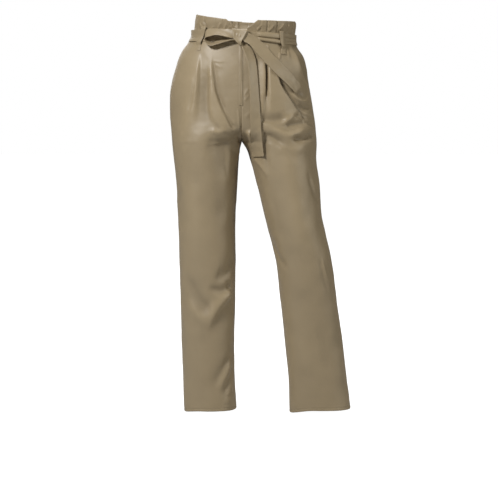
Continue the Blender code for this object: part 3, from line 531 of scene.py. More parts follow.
def wallMesh(name, outer, inner, crest=None, rim=3):
    rows, columns = outer.shape[:2]
    foot = halfRound(outer[-1], inner[-1], outer[-2], inner[-2], rim)
    head = halfRound(inner[0], outer[0], inner[1], outer[1], rim)
    loop = np.concatenate([outer, foot, inner[::-1], head])
    index = np.arange(len(loop) * columns).reshape(len(loop), columns)
    after = np.roll(index, -1, axis=0)
    quads = np.stack([index[:, :-1], after[:, :-1], after[:, 1:], index[:, 1:]], axis=-1).reshape(-1, 4)
    inside = np.zeros((len(loop), columns - 1), int)
    inside[rows + rim:2 * rows + rim - 1] = 1
    faces, kinds = quads.tolist(), inside.reshape(-1).tolist()
    innerRow = 2 * rows + rim - 1 - np.arange(rows)
    for column, flip in ((0, False), (columns - 1, True)):
        edge = index[:, column].tolist()
        ends = [[edge[i + 1], edge[i], edge[innerRow[i]], edge[innerRow[i + 1]]] for i in range(rows - 1)]
        ends.append([edge[k] for k in range(rows + rim, rows - 2, -1)])
        ends.append([edge[0]] + [edge[k] for k in range(len(loop) - 1, 2 * rows + rim - 2, -1)])
        faces += [face[::-1] for face in ends] if flip else ends
        kinds += [0] * len(ends)
    places = loop.reshape(-1, 3)
    a, b, c, d = (places[quads[:, k]] for k in range(4))
    volume = (np.einsum("ij,ij->i", a, np.cross(b, c)) + np.einsum("ij,ij->i", a, np.cross(c, d))).sum()
    if volume < 0:
        faces = [face[::-1] for face in faces]
    mesh = bpy.data.meshes.new(name)
    mesh.from_pydata(places.tolist(), [], faces)
    mesh.polygons.foreach_set("material_index", kinds)
    worn = np.zeros((len(loop), columns))
    if crest is not None:
        worn[:rows] = crest
        worn[rows + rim:2 * rows + rim] = crest[::-1]
    setLayer(mesh, "crest", "FLOAT", worn)
    mesh.shade_smooth()
    mesh.set_sharp_from_angle(angle=math.radians(62))
    mesh.update()
    return mesh


def setLayer(mesh, label, kind, values):   # one value or vector a point
    layer = mesh.attributes.new(label, kind, "POINT")
    key = "value" if kind == "FLOAT" else "vector"
    layer.data.foreach_set(key, np.asarray(values).reshape(-1).astype(np.float32))


# materials

coatedRecipe = {
    "bigTone": 6.0, "smallTone": 42.0, "wrinkle": 95.0, "grain": 900.0, "toneSpread": 0.07,
    "glossSpread": 0.16, "crestGloss": 0.03, "grainHeight": 0.22, "smallHeight": 0.8, "bumpDepth": 0.6 * mm,
    "specular": 0.7,
}


def nodeGroup(name, kind, inputs, outputs):
    group = bpy.data.node_groups.new(name, kind)
    for label, socketKind, value in inputs:
        socket = group.interface.new_socket(name=label, in_out="INPUT", socket_type="NodeSocket" + socketKind)
        if value is not None:
            socket.default_value = value
    for label, socketKind in outputs:
        group.interface.new_socket(name=label, in_out="OUTPUT", socket_type="NodeSocket" + socketKind)
    return group, group.nodes.new("NodeGroupInput").outputs, group.nodes.new("NodeGroupOutput")


def mathNode(group, operation, first, second):
    return addNode(group, "ShaderNodeMath", {0: first, 1: second}, operation=operation).outputs[0]


def weighed(group, *terms):   # the sum of values times weights
    total = None
    for value, weight in terms:
        part = mathNode(group, "MULTIPLY", value, weight)
        total = part if total is None else mathNode(group, "ADD", total, part)
    return total


def noiseAt(group, place, scale, detail, distortion=0.0):
    values = {"Vector": place, "Scale": scale, "Detail": detail, "Distortion": distortion}
    return addNode(group, "ShaderNodeTexNoise", values).outputs["Fac"]


def coatedFaceGroup():   # a coated cloth's tone, gloss and grain: rubbed lighter on its raised folds as wear, and darker in its troughs, tucks and sunk seams as painted shade
    recipe = coatedRecipe
    group, given, out = nodeGroup(
        "coatedFace", "ShaderNodeTree",
        [("Tint", "Color", (0.3, 0.24, 0.16, 1)), ("Gloss", "Float", 0.4), ("Rub", "Float", 0.1)],
        [("Colour", "Color"), ("Roughness", "Float"), ("Height", "Float")])
    place = addNode(group, "ShaderNodeTexCoord").outputs["Object"]
    crest = addNode(group, "ShaderNodeAttribute", attribute_name="crest").outputs["Fac"]
    big = noiseAt(group, place, recipe["bigTone"], 3.0)
    small = noiseAt(group, place, recipe["smallTone"], 4.0, 0.4)
    wrinkle = noiseAt(group, place, recipe["wrinkle"], 3.0, 0.6)
    spread = recipe["toneSpread"]
    # the crest lightens the tone on ridges (rubbed wear) and darkens it in troughs, tucks and sunk seams
    # (painted shade)
    tone = weighed(group, (big, 2.2 * spread), (small, spread), (crest, given["Rub"]))
    tone = mathNode(group, "ADD", tone, 1 - 1.6 * spread)
    colour = addNode(group, "ShaderNodeVectorMath", {0: given["Tint"], "Scale": tone}, operation="SCALE")
    evened = mathNode(group, "SUBTRACT", small, 0.5)
    rough = weighed(group, (evened, recipe["glossSpread"]), (crest, -recipe["crestGloss"]))
    values = {"Vector": place, "Scale": recipe["grain"]}
    grain = addNode(group, "ShaderNodeTexVoronoi", values, feature="SMOOTH_F1").outputs["Distance"]
    height = weighed(group, (grain, recipe["grainHeight"]), (wrinkle, 1.0), (small, recipe["smallHeight"]))
    give(group, out, {"Colour": colour.outputs[0], "Height": height,
                      "Roughness": mathNode(group, "ADD", given["Gloss"], rough)})
    return group


coatedFace = coatedFaceGroup()
# the fourth value sets both the rubbed wear on ridges and the painted shade in troughs and tucks
finish = namedtuple("finish", "name tint gloss rub bump sheen")
finishes = [
    finish("coatedCloth", (0.319, 0.247, 0.148, 1), 0.51, 0.10, 0.22, 0.04),
    finish("sashCloth", (0.326, 0.254, 0.154, 1), 0.48, 0.08, 0.20, 0.04),
    # a darker copy of the coated cloth: painted shade for the pocket facing seen in the mouths
    finish("pocketShadedCloth", (0.270, 0.209, 0.122, 1), 0.46, 0.06, 0.22, 0.03),
]


def bumped(tree, height, strength, depth):
    values = {"Height": height, "Strength": strength, "Distance": depth}
    return addNode(tree, "ShaderNodeBump", values).outputs["Normal"]


def coatedMaterial(row):
    own = {"Sheen Weight": row.sheen, "Specular IOR Level": coatedRecipe["specular"]}
    material, tree, shader = newMaterial(row.name, own)
    values = {"Tint": row.tint, "Gloss": row.gloss, "Rub": row.rub}
    face = addNode(tree, "ShaderNodeGroup", values, node_tree=coatedFace).outputs
    give(tree, shader, {"Base Color": face["Colour"], "Roughness": face["Roughness"],
                        "Normal": bumped(tree, face["Height"], row.bump, coatedRecipe["bumpDepth"])})
    return material


def twoTones(tree, shader, share, dark, light):   # the base colour runs between two tones
    tones = addNode(tree, "ShaderNodeValToRGB", {"Fac": share})
    for element, tint in zip(tones.color_ramp.elements, (dark, light)):
        element.color = tint
    give(tree, shader, {"Base Color": tones.outputs["Color"]})


def backingMaterial():   # the knitted inside of the coated cloth
    material, tree, shader = newMaterial("knitBacking", {
        "Base Color": (0.42, 0.36, 0.27, 1), "Roughness": 0.9, "Sheen Weight": 0.2})
    waves = addNode(tree, "ShaderNodeTexWave", {
        "Vector": addNode(tree, "ShaderNodeTexCoord").outputs["Object"], "Scale": 260.0, "Distortion": 2.5,
        "Detail": 2.0}, wave_type="BANDS", bands_direction="Z").outputs["Fac"]
    twoTones(tree, shader, waves, (0.34, 0.29, 0.215, 1), (0.46, 0.395, 0.30, 1))
    give(tree, shader, {"Normal": bumped(tree, waves, 0.35, 0.4 * mm)})
    return material


def threadMaterial():
    material, tree, shader = newMaterial("sewingThread", {
        "Base Color": (0.30, 0.245, 0.155, 1), "Roughness": 0.6})
    place = addNode(tree, "ShaderNodeTexCoord").outputs["Object"]
    twist = addNode(tree, "ShaderNodeTexNoise", {"Vector": place, "Scale": 1800.0}).outputs["Fac"]
    twoTones(tree, shader, twist, (0.25, 0.20, 0.125, 1), (0.36, 0.30, 0.20, 1))
    return material


materials = {row.name: coatedMaterial(row) for row in finishes}
materials["knitBacking"] = backingMaterial()
materials["sewingThread"] = threadMaterial()
print("materials made:", len(materials))


def addPiece(name, mesh, cloths=(), node=None, cut=None):
    for cloth in cloths:
        mesh.materials.append(materials[cloth])
    piece = link(name, mesh)
    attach(piece, "root")
    if node:
        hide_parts(node)
    if cut:
        width, length, area, held, restsOn = cut
        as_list(restsOn)


def sewWall(name, grids, cloths, node, cut, rim=3):   # a piece from its two faces
    addPiece(name, wallMesh(name, *grids, rim=rim), cloths, node, cut)


# front and back panels

panel = {
    "cloth": 1.5 * mm, "hemCloth": 2.6 * mm, "hemDepth": 9 * mm, "hemStitchUp": 7 * mm, "gap": -0.02 * mm,
    "meetWidth": 3 * mm, "topRows": 62, "riseRows": 64, "thighRows": 34, "legRows": 74, "hemRows": 9,
    "topGap": 0.3 * mm, "hemGap": 1.3 * mm, "thigh": 0.17, "riseCurve": 1.6, "thighCurve": 1.5,
    "evenFrom": -150 * mm, "evenTo": -330 * mm, "hemDip": 0.45 * mm, "hemDipWidth": 1.3 * mm,
    "insideX": 24 * mm, "spans": (26, 12, 14, 34), "backColumns": (62, 26), "crestHeight": 4 * mm,
    "pleatOffsets": (-9, -6.5, -4.6, -3.1, -2.0, -1.2, -0.6, 0, 0.6, 1.2, 2.0, 3.1, 4.6, 6.5, 9),
}
pleatLines = {   # levels, then the x of the inner and of the outer pleat
    right: ((-50, -106, -150, -200), (-70.5, -68, -58, -42), (-100, -108, -120, -132)),
    left: ((-50, -106, -150, -200), (58.5, 59.6, 60, 62), (86, 95, 114, 150)),
}
pocket = {
    "foot": {right: -114 * mm, left: -124 * mm}, "curve": {right: 1.25, left: 4.5},
    "mouth": {right: 0.925, left: 0.690}, "under": 9 * mm, "seat": 4 * mm, "clear": 0.6 * mm, "columns": 40,
    "rows": 60, "cut": {right: (0.030, 0.118, 0.0026), left: (0.076, 0.128, 0.0078)},
    "gape": {right: 0.8 * mm, left: 4.6 * mm}, "gapeLevel": -62 * mm, "gapeLength": 36 * mm,
    "gapeWidth": 15 * mm,
}
panelCuts = {   # width, length and area of the flat cut
    "front_right": (0.330, 0.960, 0.235), "front_left": (0.330, 0.960, 0.235),
    "back_right": (0.340, 0.960, 0.245), "back_left": (0.330, 0.960, 0.240),
}


def panelLevels():
    fork, rise, hem = legForm["fork"], legForm["rise"], legForm["hem"]
    top = np.linspace(legForm["waistSeam"] - panel["topGap"], fork + rise, panel["topRows"])
    toFork = fork + rise * np.linspace(1, 0, panel["riseRows"]) ** panel["riseCurve"]
    thigh = fork - panel["thigh"] * np.linspace(0, 1, panel["thighRows"]) ** panel["thighCurve"]
    leg = np.linspace(thigh[-1], hem + 2 * panel["hemDepth"], panel["legRows"])
    foot = np.linspace(leg[-1], hem + panel["hemGap"], 2 * panel["hemRows"])
    return np.concatenate([top, toFork[1:], thigh[1:], leg[1:], foot[1:]])


def mouthReach(side, level):   # the front panel's outer edge: the pocket mouth, then the side seam
    down = clamp01((legForm["waistSeam"] - level) / (legForm["waistSeam"] - pocket["foot"][side]))
    return (1 - pocket["mouth"][side]) * (1 - down ** pocket["curve"][side]) * halfGirth(side, level)


def evened(marks, level):   # the columns run evenly down the leg
    free = ease(panel["evenFrom"], panel["evenTo"], level)
    return marks * (1 - free) + np.linspace(marks[0], marks[-1], len(marks)) * free


def frontReach(side, level):   # columns from the centre or inner seam to the pocket mouth or side seam
    levels, *lines = pleatLines[side]
    pleats = [wayOfX(side, level, np.interp(-level / mm, -np.array(levels), line) * mm) for line in lines]
    offsets = np.array(panel["pleatOffsets"]) * mm
    stops = (wayOfX(side, level, panel["insideX"]), *pleats, mouthReach(side, level) + panel["gap"])
    marks = [halfGirth(side, level) - panel["gap"]]
    for count, stop, around in zip(panel["spans"], stops, ((), offsets, offsets, ())):
        first = stop - around[0] if len(around) else stop
        marks += list(np.linspace(marks[-1], first, count + 1)[1:])
        marks += [stop - offset for offset in around[1:]]
    return -evened(np.array(marks), level)


def backReach(side, level):
    inside, (outward, inward) = wayOfX(side, level, panel["insideX"]), panel["backColumns"]
    toInside = np.linspace(panel["gap"], inside, outward)[:-1]
    toCentre = np.linspace(inside, halfGirth(side, level) - panel["gap"], inward)
    return evened(np.concatenate([toInside, toCentre]), level)


def frontEdges(side, level):
    return halfGirth(side, level), mouthReach(side, level)


def backEdges(side, level):
    return halfGirth(side, level), 0.0


def mouthGape(side, level, reach):   # the pocket's edge stands off the hip
    near = bell(np.abs(reach) - mouthReach(side, level), pocket["gapeWidth"])
    return pocket["gape"][side] * near * bell(level - pocket["gapeLevel"], pocket["gapeLength"])


def facingReach(side, level):
    return -np.linspace(mouthReach(side, level) + pocket["under"], panel["gap"], pocket["columns"])


def facingSink(side, level, reach):   # the facing lies under the front's edge
    edge = mouthReach(side, level)
    shown = ease(edge, max(edge - pocket["seat"], 0.0) - 1e-6, -reach)
    return (panel["cloth"] + pocket["clear"]) * (shown - 1)


def legPanel(side, levels, reachOf, edgesOf, extra):   # outer and inner face, and how raised the cloth is
    outer, inner, crest = [], [], []
    for level in levels:
        reach = reachOf(side, level)
        plain, normals, lift = clothPoints(side, level, reach)
        # the cloth turns in where it is sewn, and the stitched line of the hem is drawn in
        rolls = [clothFinish["rollDepth"] * bell(np.abs(np.abs(reach) - edge), clothFinish["rollWidth"])
                 for edge in edgesOf(side, level)]
        dip = panel["hemDip"] * bell(level - legForm["hem"] - panel["hemStitchUp"], panel["hemDipWidth"])
        rise = -sum(rolls) - dip + extra(side, level, reach)
        face = plain + normals * np.broadcast_to(rise, reach.shape)[:, None]
        double = level < legForm["hem"] + panel["hemDepth"]
        back = face - normals * panel["hemCloth" if double else "cloth"]
        if level > legForm["fork"] - 0.1 * mm:   # the two halves meet at the centre
            edge = np.argmax(np.abs(reach))
            near = bell(halfGirth(side, level) - np.abs(reach), panel["meetWidth"])
            for points in (face, back):
                points[:, 0] -= (points[edge, 0] - side * panel["gap"]) * near
        outer.append(face)
        inner.append(back)
        # the crest also carries painted shade: troughs, rolled seams, the hem's stitched line and the sunk
        # facing come out darker, and the ridges lighter as wear
        crest.append(np.clip((lift + rise) / panel["crestHeight"], -1, 1))
    return tilted(outer), tilted(inner), np.array(crest)


def makePanels():
    kinds = (("front", frontReach, frontEdges, mouthGape), ("back", backReach, backEdges, lambda *_: 0.0))
    for side, word in sides.items():
        for place, *shapes in kinds:
            node = f"{place}_{word}"
            grids = legPanel(side, panelLevels(), *shapes)
            sewWall(f"{node}_cloth", grids, ("coatedCloth", "knitBacking"), node,
                    (*panelCuts[node], "hung", [f"sash_band_{word}"]))


def makeFacings():   # what shows in the pocket mouths
    for side, word in sides.items():
        top, foot = legForm["waistSeam"] - panel["topGap"], pocket["foot"][side] + 1.0 * mm
        levels = np.linspace(top, foot, pocket["rows"])
        grids = legPanel(side, levels, facingReach, lambda *_: (0.0,), facingSink)
        sewWall(f"pocket_{word}_cloth", grids, ("pocketShadedCloth", "knitBacking"), f"pocket_facing_{word}",
                (*pocket["cut"][side], "hung", [f"front_{word}_cloth"]))


makePanels()
print("panels made")
makeFacings()
print("pocket facings made")


# geometry nodes for what repeats

def treeGrown(name, source, tree, values):   # what the tree makes of a mesh, as a plain mesh
    thing = link(name + "_source", source)
    modifier = thing.modifiers.new("grown", "NODES")
    modifier.node_group = tree
    for item in tree.interface.items_tree:
        if item.item_type == "SOCKET" and item.in_out == "INPUT" and item.name in values:
            modifier[item.identifier] = values[item.name]
    bpy.context.view_layer.update()
    mesh = bpy.data.meshes.new_from_object(thing.evaluated_get(bpy.context.evaluated_depsgraph_get()))
    mesh.name = name
    bpy.data.objects.remove(thing, do_unlink=True)
    return mesh


def endTree(group, geometry, given, out):
    real = addNode(group, "GeometryNodeRealizeInstances", {0: geometry}).outputs[0]
    smooth = addNode(group, "GeometryNodeSetShadeSmooth", {0: real}).outputs[0]
    paint = addNode(group, "GeometryNodeSetMaterial", {"Geometry": smooth, "Material": given["Material"]})
    give(group, out, {0: paint.outputs[0]})
    return group


def gatherTree():   # draws the frill in at its tucks and lets it puff between them
    group, given, out = nodeGroup(
        "gatheredFrill", "GeometryNodeTree",
        [("Geometry", "Geometry", None), ("Flare", "Float", 0.002), ("Puff", "Float", 0.002),
         ("Tuck Depth", "Float", 0.003), ("Material", "Material", None)],
        [("Geometry", "Geometry")])
    free, tuck, deep, outward = (
        addNode(group, "GeometryNodeInputNamedAttribute", {"Name": label}, data_type=kind).outputs[0]
        for label, kind in frillLayers.items())
    puff = mathNode(group, "MULTIPLY", given["Puff"], mathNode(group, "SUBTRACT", 1.0, tuck))
    lift = mathNode(group, "MULTIPLY", free, mathNode(group, "ADD", given["Flare"], puff))
    drawn = mathNode(group, "MULTIPLY", mathNode(group, "MULTIPLY", tuck, deep), given["Tuck Depth"])
    move = addNode(group, "ShaderNodeVectorMath",
                   {0: outward, "Scale": mathNode(group, "SUBTRACT", lift, drawn)}, operation="SCALE")
    place = addNode(group, "GeometryNodeSetPosition",
                    {"Geometry": given["Geometry"], "Offset": move.outputs[0]})
    return endTree(group, place.outputs[0], given, out)


def stitchTree():   # stitches of one length along every line of a mesh of edges
    group, given, out = nodeGroup(
        "stitchLine", "GeometryNodeTree",
        [("Geometry", "Geometry", None), ("Spacing", "Float", 0.003), ("Stitch Length", "Float", 0.0022),
         ("Thread", "Float", 0.0005), ("Material", "Material", None)],
        [("Geometry", "Geometry")])
    curve = addNode(group, "GeometryNodeMeshToCurve", {"Mesh": given["Geometry"]}).outputs["Curve"]
    even = addNode(group, "GeometryNodeResampleCurve", mode="LENGTH")
    give(group, even, {"Curve": curve, "Length": given["Spacing"]})
    bead = addNode(group, "GeometryNodeMeshUVSphere", {"Segments": 6, "Rings": 5, "Radius": 0.5})
    size = addNode(group, "ShaderNodeCombineXYZ",
                   {"X": given["Thread"], "Y": given["Thread"], "Z": given["Stitch Length"]})
    shaped = addNode(group, "GeometryNodeTransform",
                     {"Geometry": bead.outputs["Mesh"], "Scale": size.outputs[0]})
    turn = addNode(group, "FunctionNodeAlignRotationToVector",
                   {"Vector": addNode(group, "GeometryNodeInputTangent").outputs[0]}, axis="Z")
    spread = addNode(group, "GeometryNodeInstanceOnPoints", {
        "Points": even.outputs["Curve"], "Instance": shaped.outputs["Geometry"], "Rotation": turn.outputs[0]})
    return endTree(group, spread.outputs["Instances"], given, out)


# frill

frillSize = {
    "cloth": 2.2 * mm, "rows": 26, "columns": 150, "notchHalf": 38 * mm, "notchFoot": 7 * mm,
    "topAt": (0.25, 0.6, 0.85, 1.0, 1.3, 2.0), "edgeWave": 0.7 * mm, "edgeTurns": 9.0,
    "free": (11 * mm, 34 * mm), "sideFlare": 0.4, "sideWidth": 0.3, "ripple": (0.25 * mm, 22 * mm, 5),
    "inputs": {"Flare": 2.6 * mm, "Puff": 2.0 * mm, "Tuck Depth": 3.6 * mm}, "tuckShape": 1.7,
    "topTuck": 0.35, "tuckLevels": (6 * mm, 14 * mm, 20 * mm, 40 * mm), "crestHeight": 3 * mm,
    "cut": (0.215, 0.042),
}
frillLayers = {"free": "FLOAT", "tuck": "FLOAT", "deep": "FLOAT", "outward": "FLOAT_VECTOR"}
frillTops = {right: (37.5, 44.5, 47.0, 45.0, 43.0, 41.0), left: (38.5, 41.0, 41.0, 36.5, 39.0, 40.0)}
tucks = {   # part of the way (0 front, 1 side, 2 back), width, depth and lean
    right: (
        (0.175, 2.6, 0.3, 0.02), (0.27, 2.6, 0.2, 0.02), (0.37, 2.6, 0.15, 0), (0.53, 2.6, 0.35, -0.035),
        (0.68, 3.2, 0.4, 0), (0.84, 2.8, 0.7, 0.01), (0.99, 2.4, 0.8, 0), (1.13, 3, 1, 0.01),
        (1.25, 2.4, 0.7, -0.01), (1.40, 3, 1, 0), (1.55, 2.4, 0.8, 0.01), (1.68, 3, 1, 0),
        (1.83, 2.4, 0.8, -0.01), (1.94, 2.4, 0.8, 0),
    ),
    left: (
        (0.235, 2.4, 0.3, -0.01), (0.33, 1.5, 0.55, 0), (0.465, 1.5, 0.6, 0), (0.635, 1.5, 0.55, 0),
        (0.77, 2.2, 0.6, 0), (0.91, 2.2, 0.6, 0.01), (1.05, 3, 1, 0), (1.19, 2.6, 0.7, 0.01),
        (1.32, 3, 1, 0), (1.47, 2.4, 0.8, -0.01), (1.60, 3, 1, 0), (1.74, 2.4, 0.8, 0.01),
        (1.88, 3, 0.9, 0),
    ),
}


def frillFree(level):
    return ease(*frillSize["free"], level)


def frillQuarter(side, first, last):
    # the two faces, then how free, tucked and deep each point is, its way out and its lift
    size, seam = frillSize, legForm["waistSeam"]
    girth = halfGirth(side, seam)
    gap = panel["gap"] / girth
    # the back quarters meet at the centre
    parts = np.linspace(first + gap, last - gap * (last < 2), size["columns"])
    tops = np.interp(parts, size["topAt"], np.array(frillTops[side]) * mm)
    tops = tops + size["edgeWave"] * np.sin(parts * size["edgeTurns"]) * ease(0.25, 0.5, parts)
    notch = clamp01(parts * girth / size["notchHalf"])
    tops = size["notchFoot"] + (tops - size["notchFoot"]) * notch - size["cloth"] / 2
    low, full, fading, high = size["tuckLevels"]
    height, scale, seed = size["ripple"]
    outer, inner, facts = [], [], []
    for v in np.linspace(1, 0, size["rows"]):
        rows = [[], [], []]
        for part, top in zip(parts, tops):
            level = seam + (top - seam) * v
            reach = (part - 1) * halfGirth(side, level)
            plain, normal = plainWithNormals(side, level, np.array([reach]))
            normal = flatUnit(normal)
            free, lift = frillFree(level), foldLift(plain, normal, frillPaths[side])[0]
            lift += height * ripple(plain, scale, seed)[0] * free
            tuck = max(depth * bell(abs(part + lean * v - at) * girth, width * mm, size["tuckShape"])
                       for at, width, depth, lean in tucks[side])
            # hardly flared at the sides
            narrow = 1 - (1 - size["sideFlare"]) * bell(part - 1, size["sideWidth"])
            deep = ease(low, full, level) * (1 - size["topTuck"] * ease(fading, high, level))
            point = (plain[0] + normal[0] * lift, plain[0] + normal[0] * (lift - size["cloth"]),
                     (free * narrow, tuck, deep, *normal[0], lift))
            for row, value in zip(rows, point):
                row.append(value)
        for grid, row in zip((outer, inner, facts), rows):
            grid.append(row)
    return tilted(outer), tilted(inner), np.array(facts, float)


def makeFrill(rim=3):
    tree = gatherTree()
    inputs = {**frillSize["inputs"], "Material": materials["coatedCloth"]}
    for side, word in sides.items():
        for first, last, place in ((0, 1, "front"), (1, 2, "back")):
            name = f"frill_{place}_{word}"
            outer, inner, facts = frillQuarter(side, first, last)
            # painted shade: the tucks are darkened, and the frill's folds come out lighter or darker as they
            # rise or sink
            crest = np.clip(facts[..., 6] / frillSize["crestHeight"] - facts[..., 1], -1, 1)
            mesh = wallMesh(f"{name}_cloth", outer, inner, crest, rim)
            # the same rows as the wall's: out, foot, in, head
            foot, head = np.repeat(facts[-1:], rim, 0), np.repeat(facts[:1], rim, 0)
            facts = np.concatenate([facts, foot, facts[::-1], head])
            columns = (facts[..., 0], facts[..., 1], facts[..., 2], facts[..., 3:6])
            for (label, kind), values in zip(frillLayers.items(), columns):
                setLayer(mesh, label, kind, values)
            gathered = treeGrown(f"{name}_cloth", mesh, tree, inputs)
            for label in frillLayers:
                gathered.attributes.remove(gathered.attributes[label])
            addPiece(f"{name}_cloth", gathered, node=name,
                     cut=(*frillSize["cut"], None, "gathered", [f"{place}_{word}_cloth"]))


makeFrill()
print("frill gathered")


# sash round the waist

sashSize = {
    "width": 28 * mm, "cloth": 2.0 * mm, "level": -4 * mm, "out": 1.0 * mm, "rows": 30, "columns": 190,
    "foldStretch": (34 * mm, 105 * mm), "foldFade": 12 * mm, "foldRise": 3.2 * mm, "foldSink": 1.2 * mm,
    "foldStrips": ((-1.0, 0.10), (0.24, 1.0)), "creaseFade": 14, "driftLength": 18 * mm, "creaseShape": 1.6,
    "ripple": (0.22 * mm, 26 * mm, 12), "crestHeight": 2 * mm, "cut": (0.392, 0.028),
    "gathered": (0.66, 0.89), "gatheredX": (25 * mm, 120 * mm),
}
# creases along the sash; v is -1 at the top and 1 at the foot
creaseRow = namedtuple("creaseRow", "side face fromX toX v depth width drift")
sashCreases = [
    creaseRow(left, ahead, 96, 150, -0.25, 1.6, 1.0, 0.06),
    creaseRow(left, ahead, 100, 150, 0.42, 1.1, 1.0, 0.0),
    creaseRow(right, ahead, 92, 150, 0.35, 1.0, 1.2, 0.1),
    creaseRow(right, behind, 10, 120, 0.15, 1.0, 1.4, -0.2),
    creaseRow(left, behind, 5, 120, -0.10, 1.0, 1.4, 0.2),
]


def underSash(side, level, reach):   # the cloth as the sash lies on it, no narrower than at its middle
    half, middle = sashSize["width"] / 2, sashSize["level"]
    inner = float(np.clip(level, middle - half, middle + half))
    points, normals = plainWithNormals(side, middle, reach)
    normals = flatUnit(normals)
    there = plainPoints(side, inner, reach)
    points = points + normals * np.maximum(((there - points) * normals).sum(-1), 0)[:, None]
    points[:, 2] = level
    return points, normals


def foldHere(points):   # how far the sash is folded into strips
    x, fade = np.abs(points[:, 0]), sashSize["foldFade"]
    near, far = sashSize["foldStretch"]
    return ease(near, near + fade, x) * ease(far, far - fade, x)


def sashFold(side, v, points, reach):   # raised where the sash is folded lengthwise, sunk at the creases
    size, x = sashSize, np.abs(points[:, 0])
    strip = max((1 - abs(2 * (v - low) / (high - low) - 1) ** 3) ** 0.5 if low < v < high else 0.0
                for low, high in size["foldStrips"])
    lift = foldHere(points) * (size["foldRise"] * strip - size["foldSink"] * (strip == 0.0))
    lift = lift * (reach < 0) * (side == left)
    for row in sashCreases:
        if row.side == side:
            start, end = row.fromX * mm, row.toX * mm
            fade = ease(start, (row.fromX + size["creaseFade"]) * mm, x)
            fade = fade * ease(end, (row.toX - size["creaseFade"]) * mm, x)
            wander = row.v + row.drift * np.sin(x / size["driftLength"])
            dip = bell(np.abs(v - wander) * size["width"] / 2, row.width * mm, size["creaseShape"])
            lift = lift - row.depth * mm * fade * dip * (reach * row.face > 0)
    height, scale, seed = size["ripple"]
    return np.maximum(lift + height * ripple(points, scale, seed), -size["cloth"] * 0.8)


def makeSashBand():
    size = sashSize
    steps = np.linspace(-1, 1, size["rows"]) * (1 - size["cloth"] / size["width"])
    columns = np.arange(size["columns"])
    for side, word in sides.items():
        total = halfGirth(side, size["level"])
        reach = np.linspace(-(total - panel["gap"]), total - panel["gap"], size["columns"])
        grid = [underSash(side, size["level"] - v * size["width"] / 2, reach) for v in steps]
        base, normals = np.array([points for points, _ in grid]), grid[0][1]
        x, (near, far), (least, atSide) = np.abs(base[0, :, 0]), size["gatheredX"], size["gathered"]
        narrow = np.where((reach < 0) & (side == left), atSide - (atSide - least) * ease(far, near, x),
                          1 - (1 - atSide) * ease(0.0, far, x) * (side == left))
        outer, inner, crest = [], [], []
        for v in steps:   # the sash narrows towards the knot from its foot up
            row = (steps[0] + (v - steps[0]) * narrow - steps[0]) / (steps[-1] - steps[0]) * (len(steps) - 1)
            low = np.clip(row.astype(int), 0, len(steps) - 2)
            part = (row - low)[:, None]
            points = base[low, columns] * (1 - part) + base[low + 1, columns] * part
            fold = sashFold(side, v, points, reach)
            outer.append(points + normals * (size["out"] + size["cloth"] + fold)[:, None])
            inner.append(points + normals * size["out"])
            # painted shade: the sash comes out darker where it sinks at its creases, and lighter where its
            # folded strips stand up
            crest.append(np.clip(fold / size["crestHeight"], -1, 1))
        grids = tilted(outer), tilted(inner), np.array(crest)
        sewWall(f"sash_{word}_cloth", grids, ("sashCloth", "sashCloth"), f"sash_band_{word}",
                (*size["cut"], None, "stretched", [f"front_{word}_cloth"]))


makeSashBand()
print("sash laid round the waist")


# belt loops

loopSize = {
    "width": 13.4 * mm, "cloth": 1.7 * mm, "clear": 0.5 * mm, "rise": 14 * mm, "flat": 2 * mm,
    "bow": 0.25 * mm, "columns": 11, "rows": 60, "cut": (0.0134, 0.066),
}
loopRow = namedtuple("loopRow", "name side face topX footX top foot clear")
loops = [
    loopRow("front_right", right, ahead, 91, 105, 18.5, -39, 3.0),
    loopRow("front_left", left, ahead, 95, 101, 15.5, -39, 0.8),
    loopRow("back_right", right, behind, 78, 80, 18, -39, 0.8),
    loopRow("back_left", left, behind, 78, 80, 18, -39, 1.2),
    loopRow("centre_back", left, behind, 0, 0, 18, -39, 0.8),
]


def loopReach(row, x, level, out, across):   # so that the loop runs straight as seen from its face
    aside = x
    for _ in range(3):
        reach = np.array([row.face * wayOfX(row.side, level, aside)])
        aside = x - out * abs(plainWithNormals(row.side, level, reach)[1][0, 0])
    reach = row.face * wayOfX(row.side, level, aside) + across
    total = halfGirth(row.side, level)
    if abs(reach) > total:   # over the centre seam, on the other leg
        return -row.side, np.array([math.copysign(2 * total - abs(reach), reach)])
    return row.side, np.array([reach])


def loopGrid(row):
    size, sash = loopSize, sashSize
    head, foot = sash["level"] + sash["width"] / 2, sash["level"] - sash["width"] / 2
    top, end = row.top * mm, row.foot * mm
    stand = sash["out"] + sash["cloth"] + row.clear * mm
    outer, inner = [], []
    for v in np.linspace(-1, 1, size["columns"]):
        across = v * (1 - size["cloth"] / size["width"]) * size["width"] / 2
        faceRow, insideRow = [], []
        for level in np.linspace(top, end, size["rows"]):
            x = (row.footX + (row.topX - row.footX) * (level - end) / (top - end)) * mm
            side, reach = loopReach(row, x, level, size["cloth"], across)
            plain, normals = plainWithNormals(side, level, reach)
            normals = flatUnit(normals)
            crest = float(frillFree(level)) * (frillSize["inputs"]["Flare"] + frillSize["inputs"]["Puff"])
            low = plain + normals * (max(crest, foldLift(plain, normals, legPaths[side])[0]) + size["clear"])
            side, reach = loopReach(row, x, sash["level"], stand + size["cloth"], across)
            points, normals = underSash(side, level, reach)
            strips = sash["foldRise"] * foldHere(points)[0] if row.face == ahead and side == left else 0.0
            high = points + normals * (stand + strips)
            arch = (ease(head + size["rise"], head + size["flat"], level)
                    * ease(foot - size["rise"], foot - size["flat"], level))
            base = low + (high - low) * arch
            faceRow.append((base + normals * (size["cloth"] + size["bow"] * (1 - v ** 2)))[0])
            insideRow.append(base[0])
        outer.append(faceRow)
        inner.append(insideRow)
    return tilted(outer), tilted(inner)


loopFaces = []


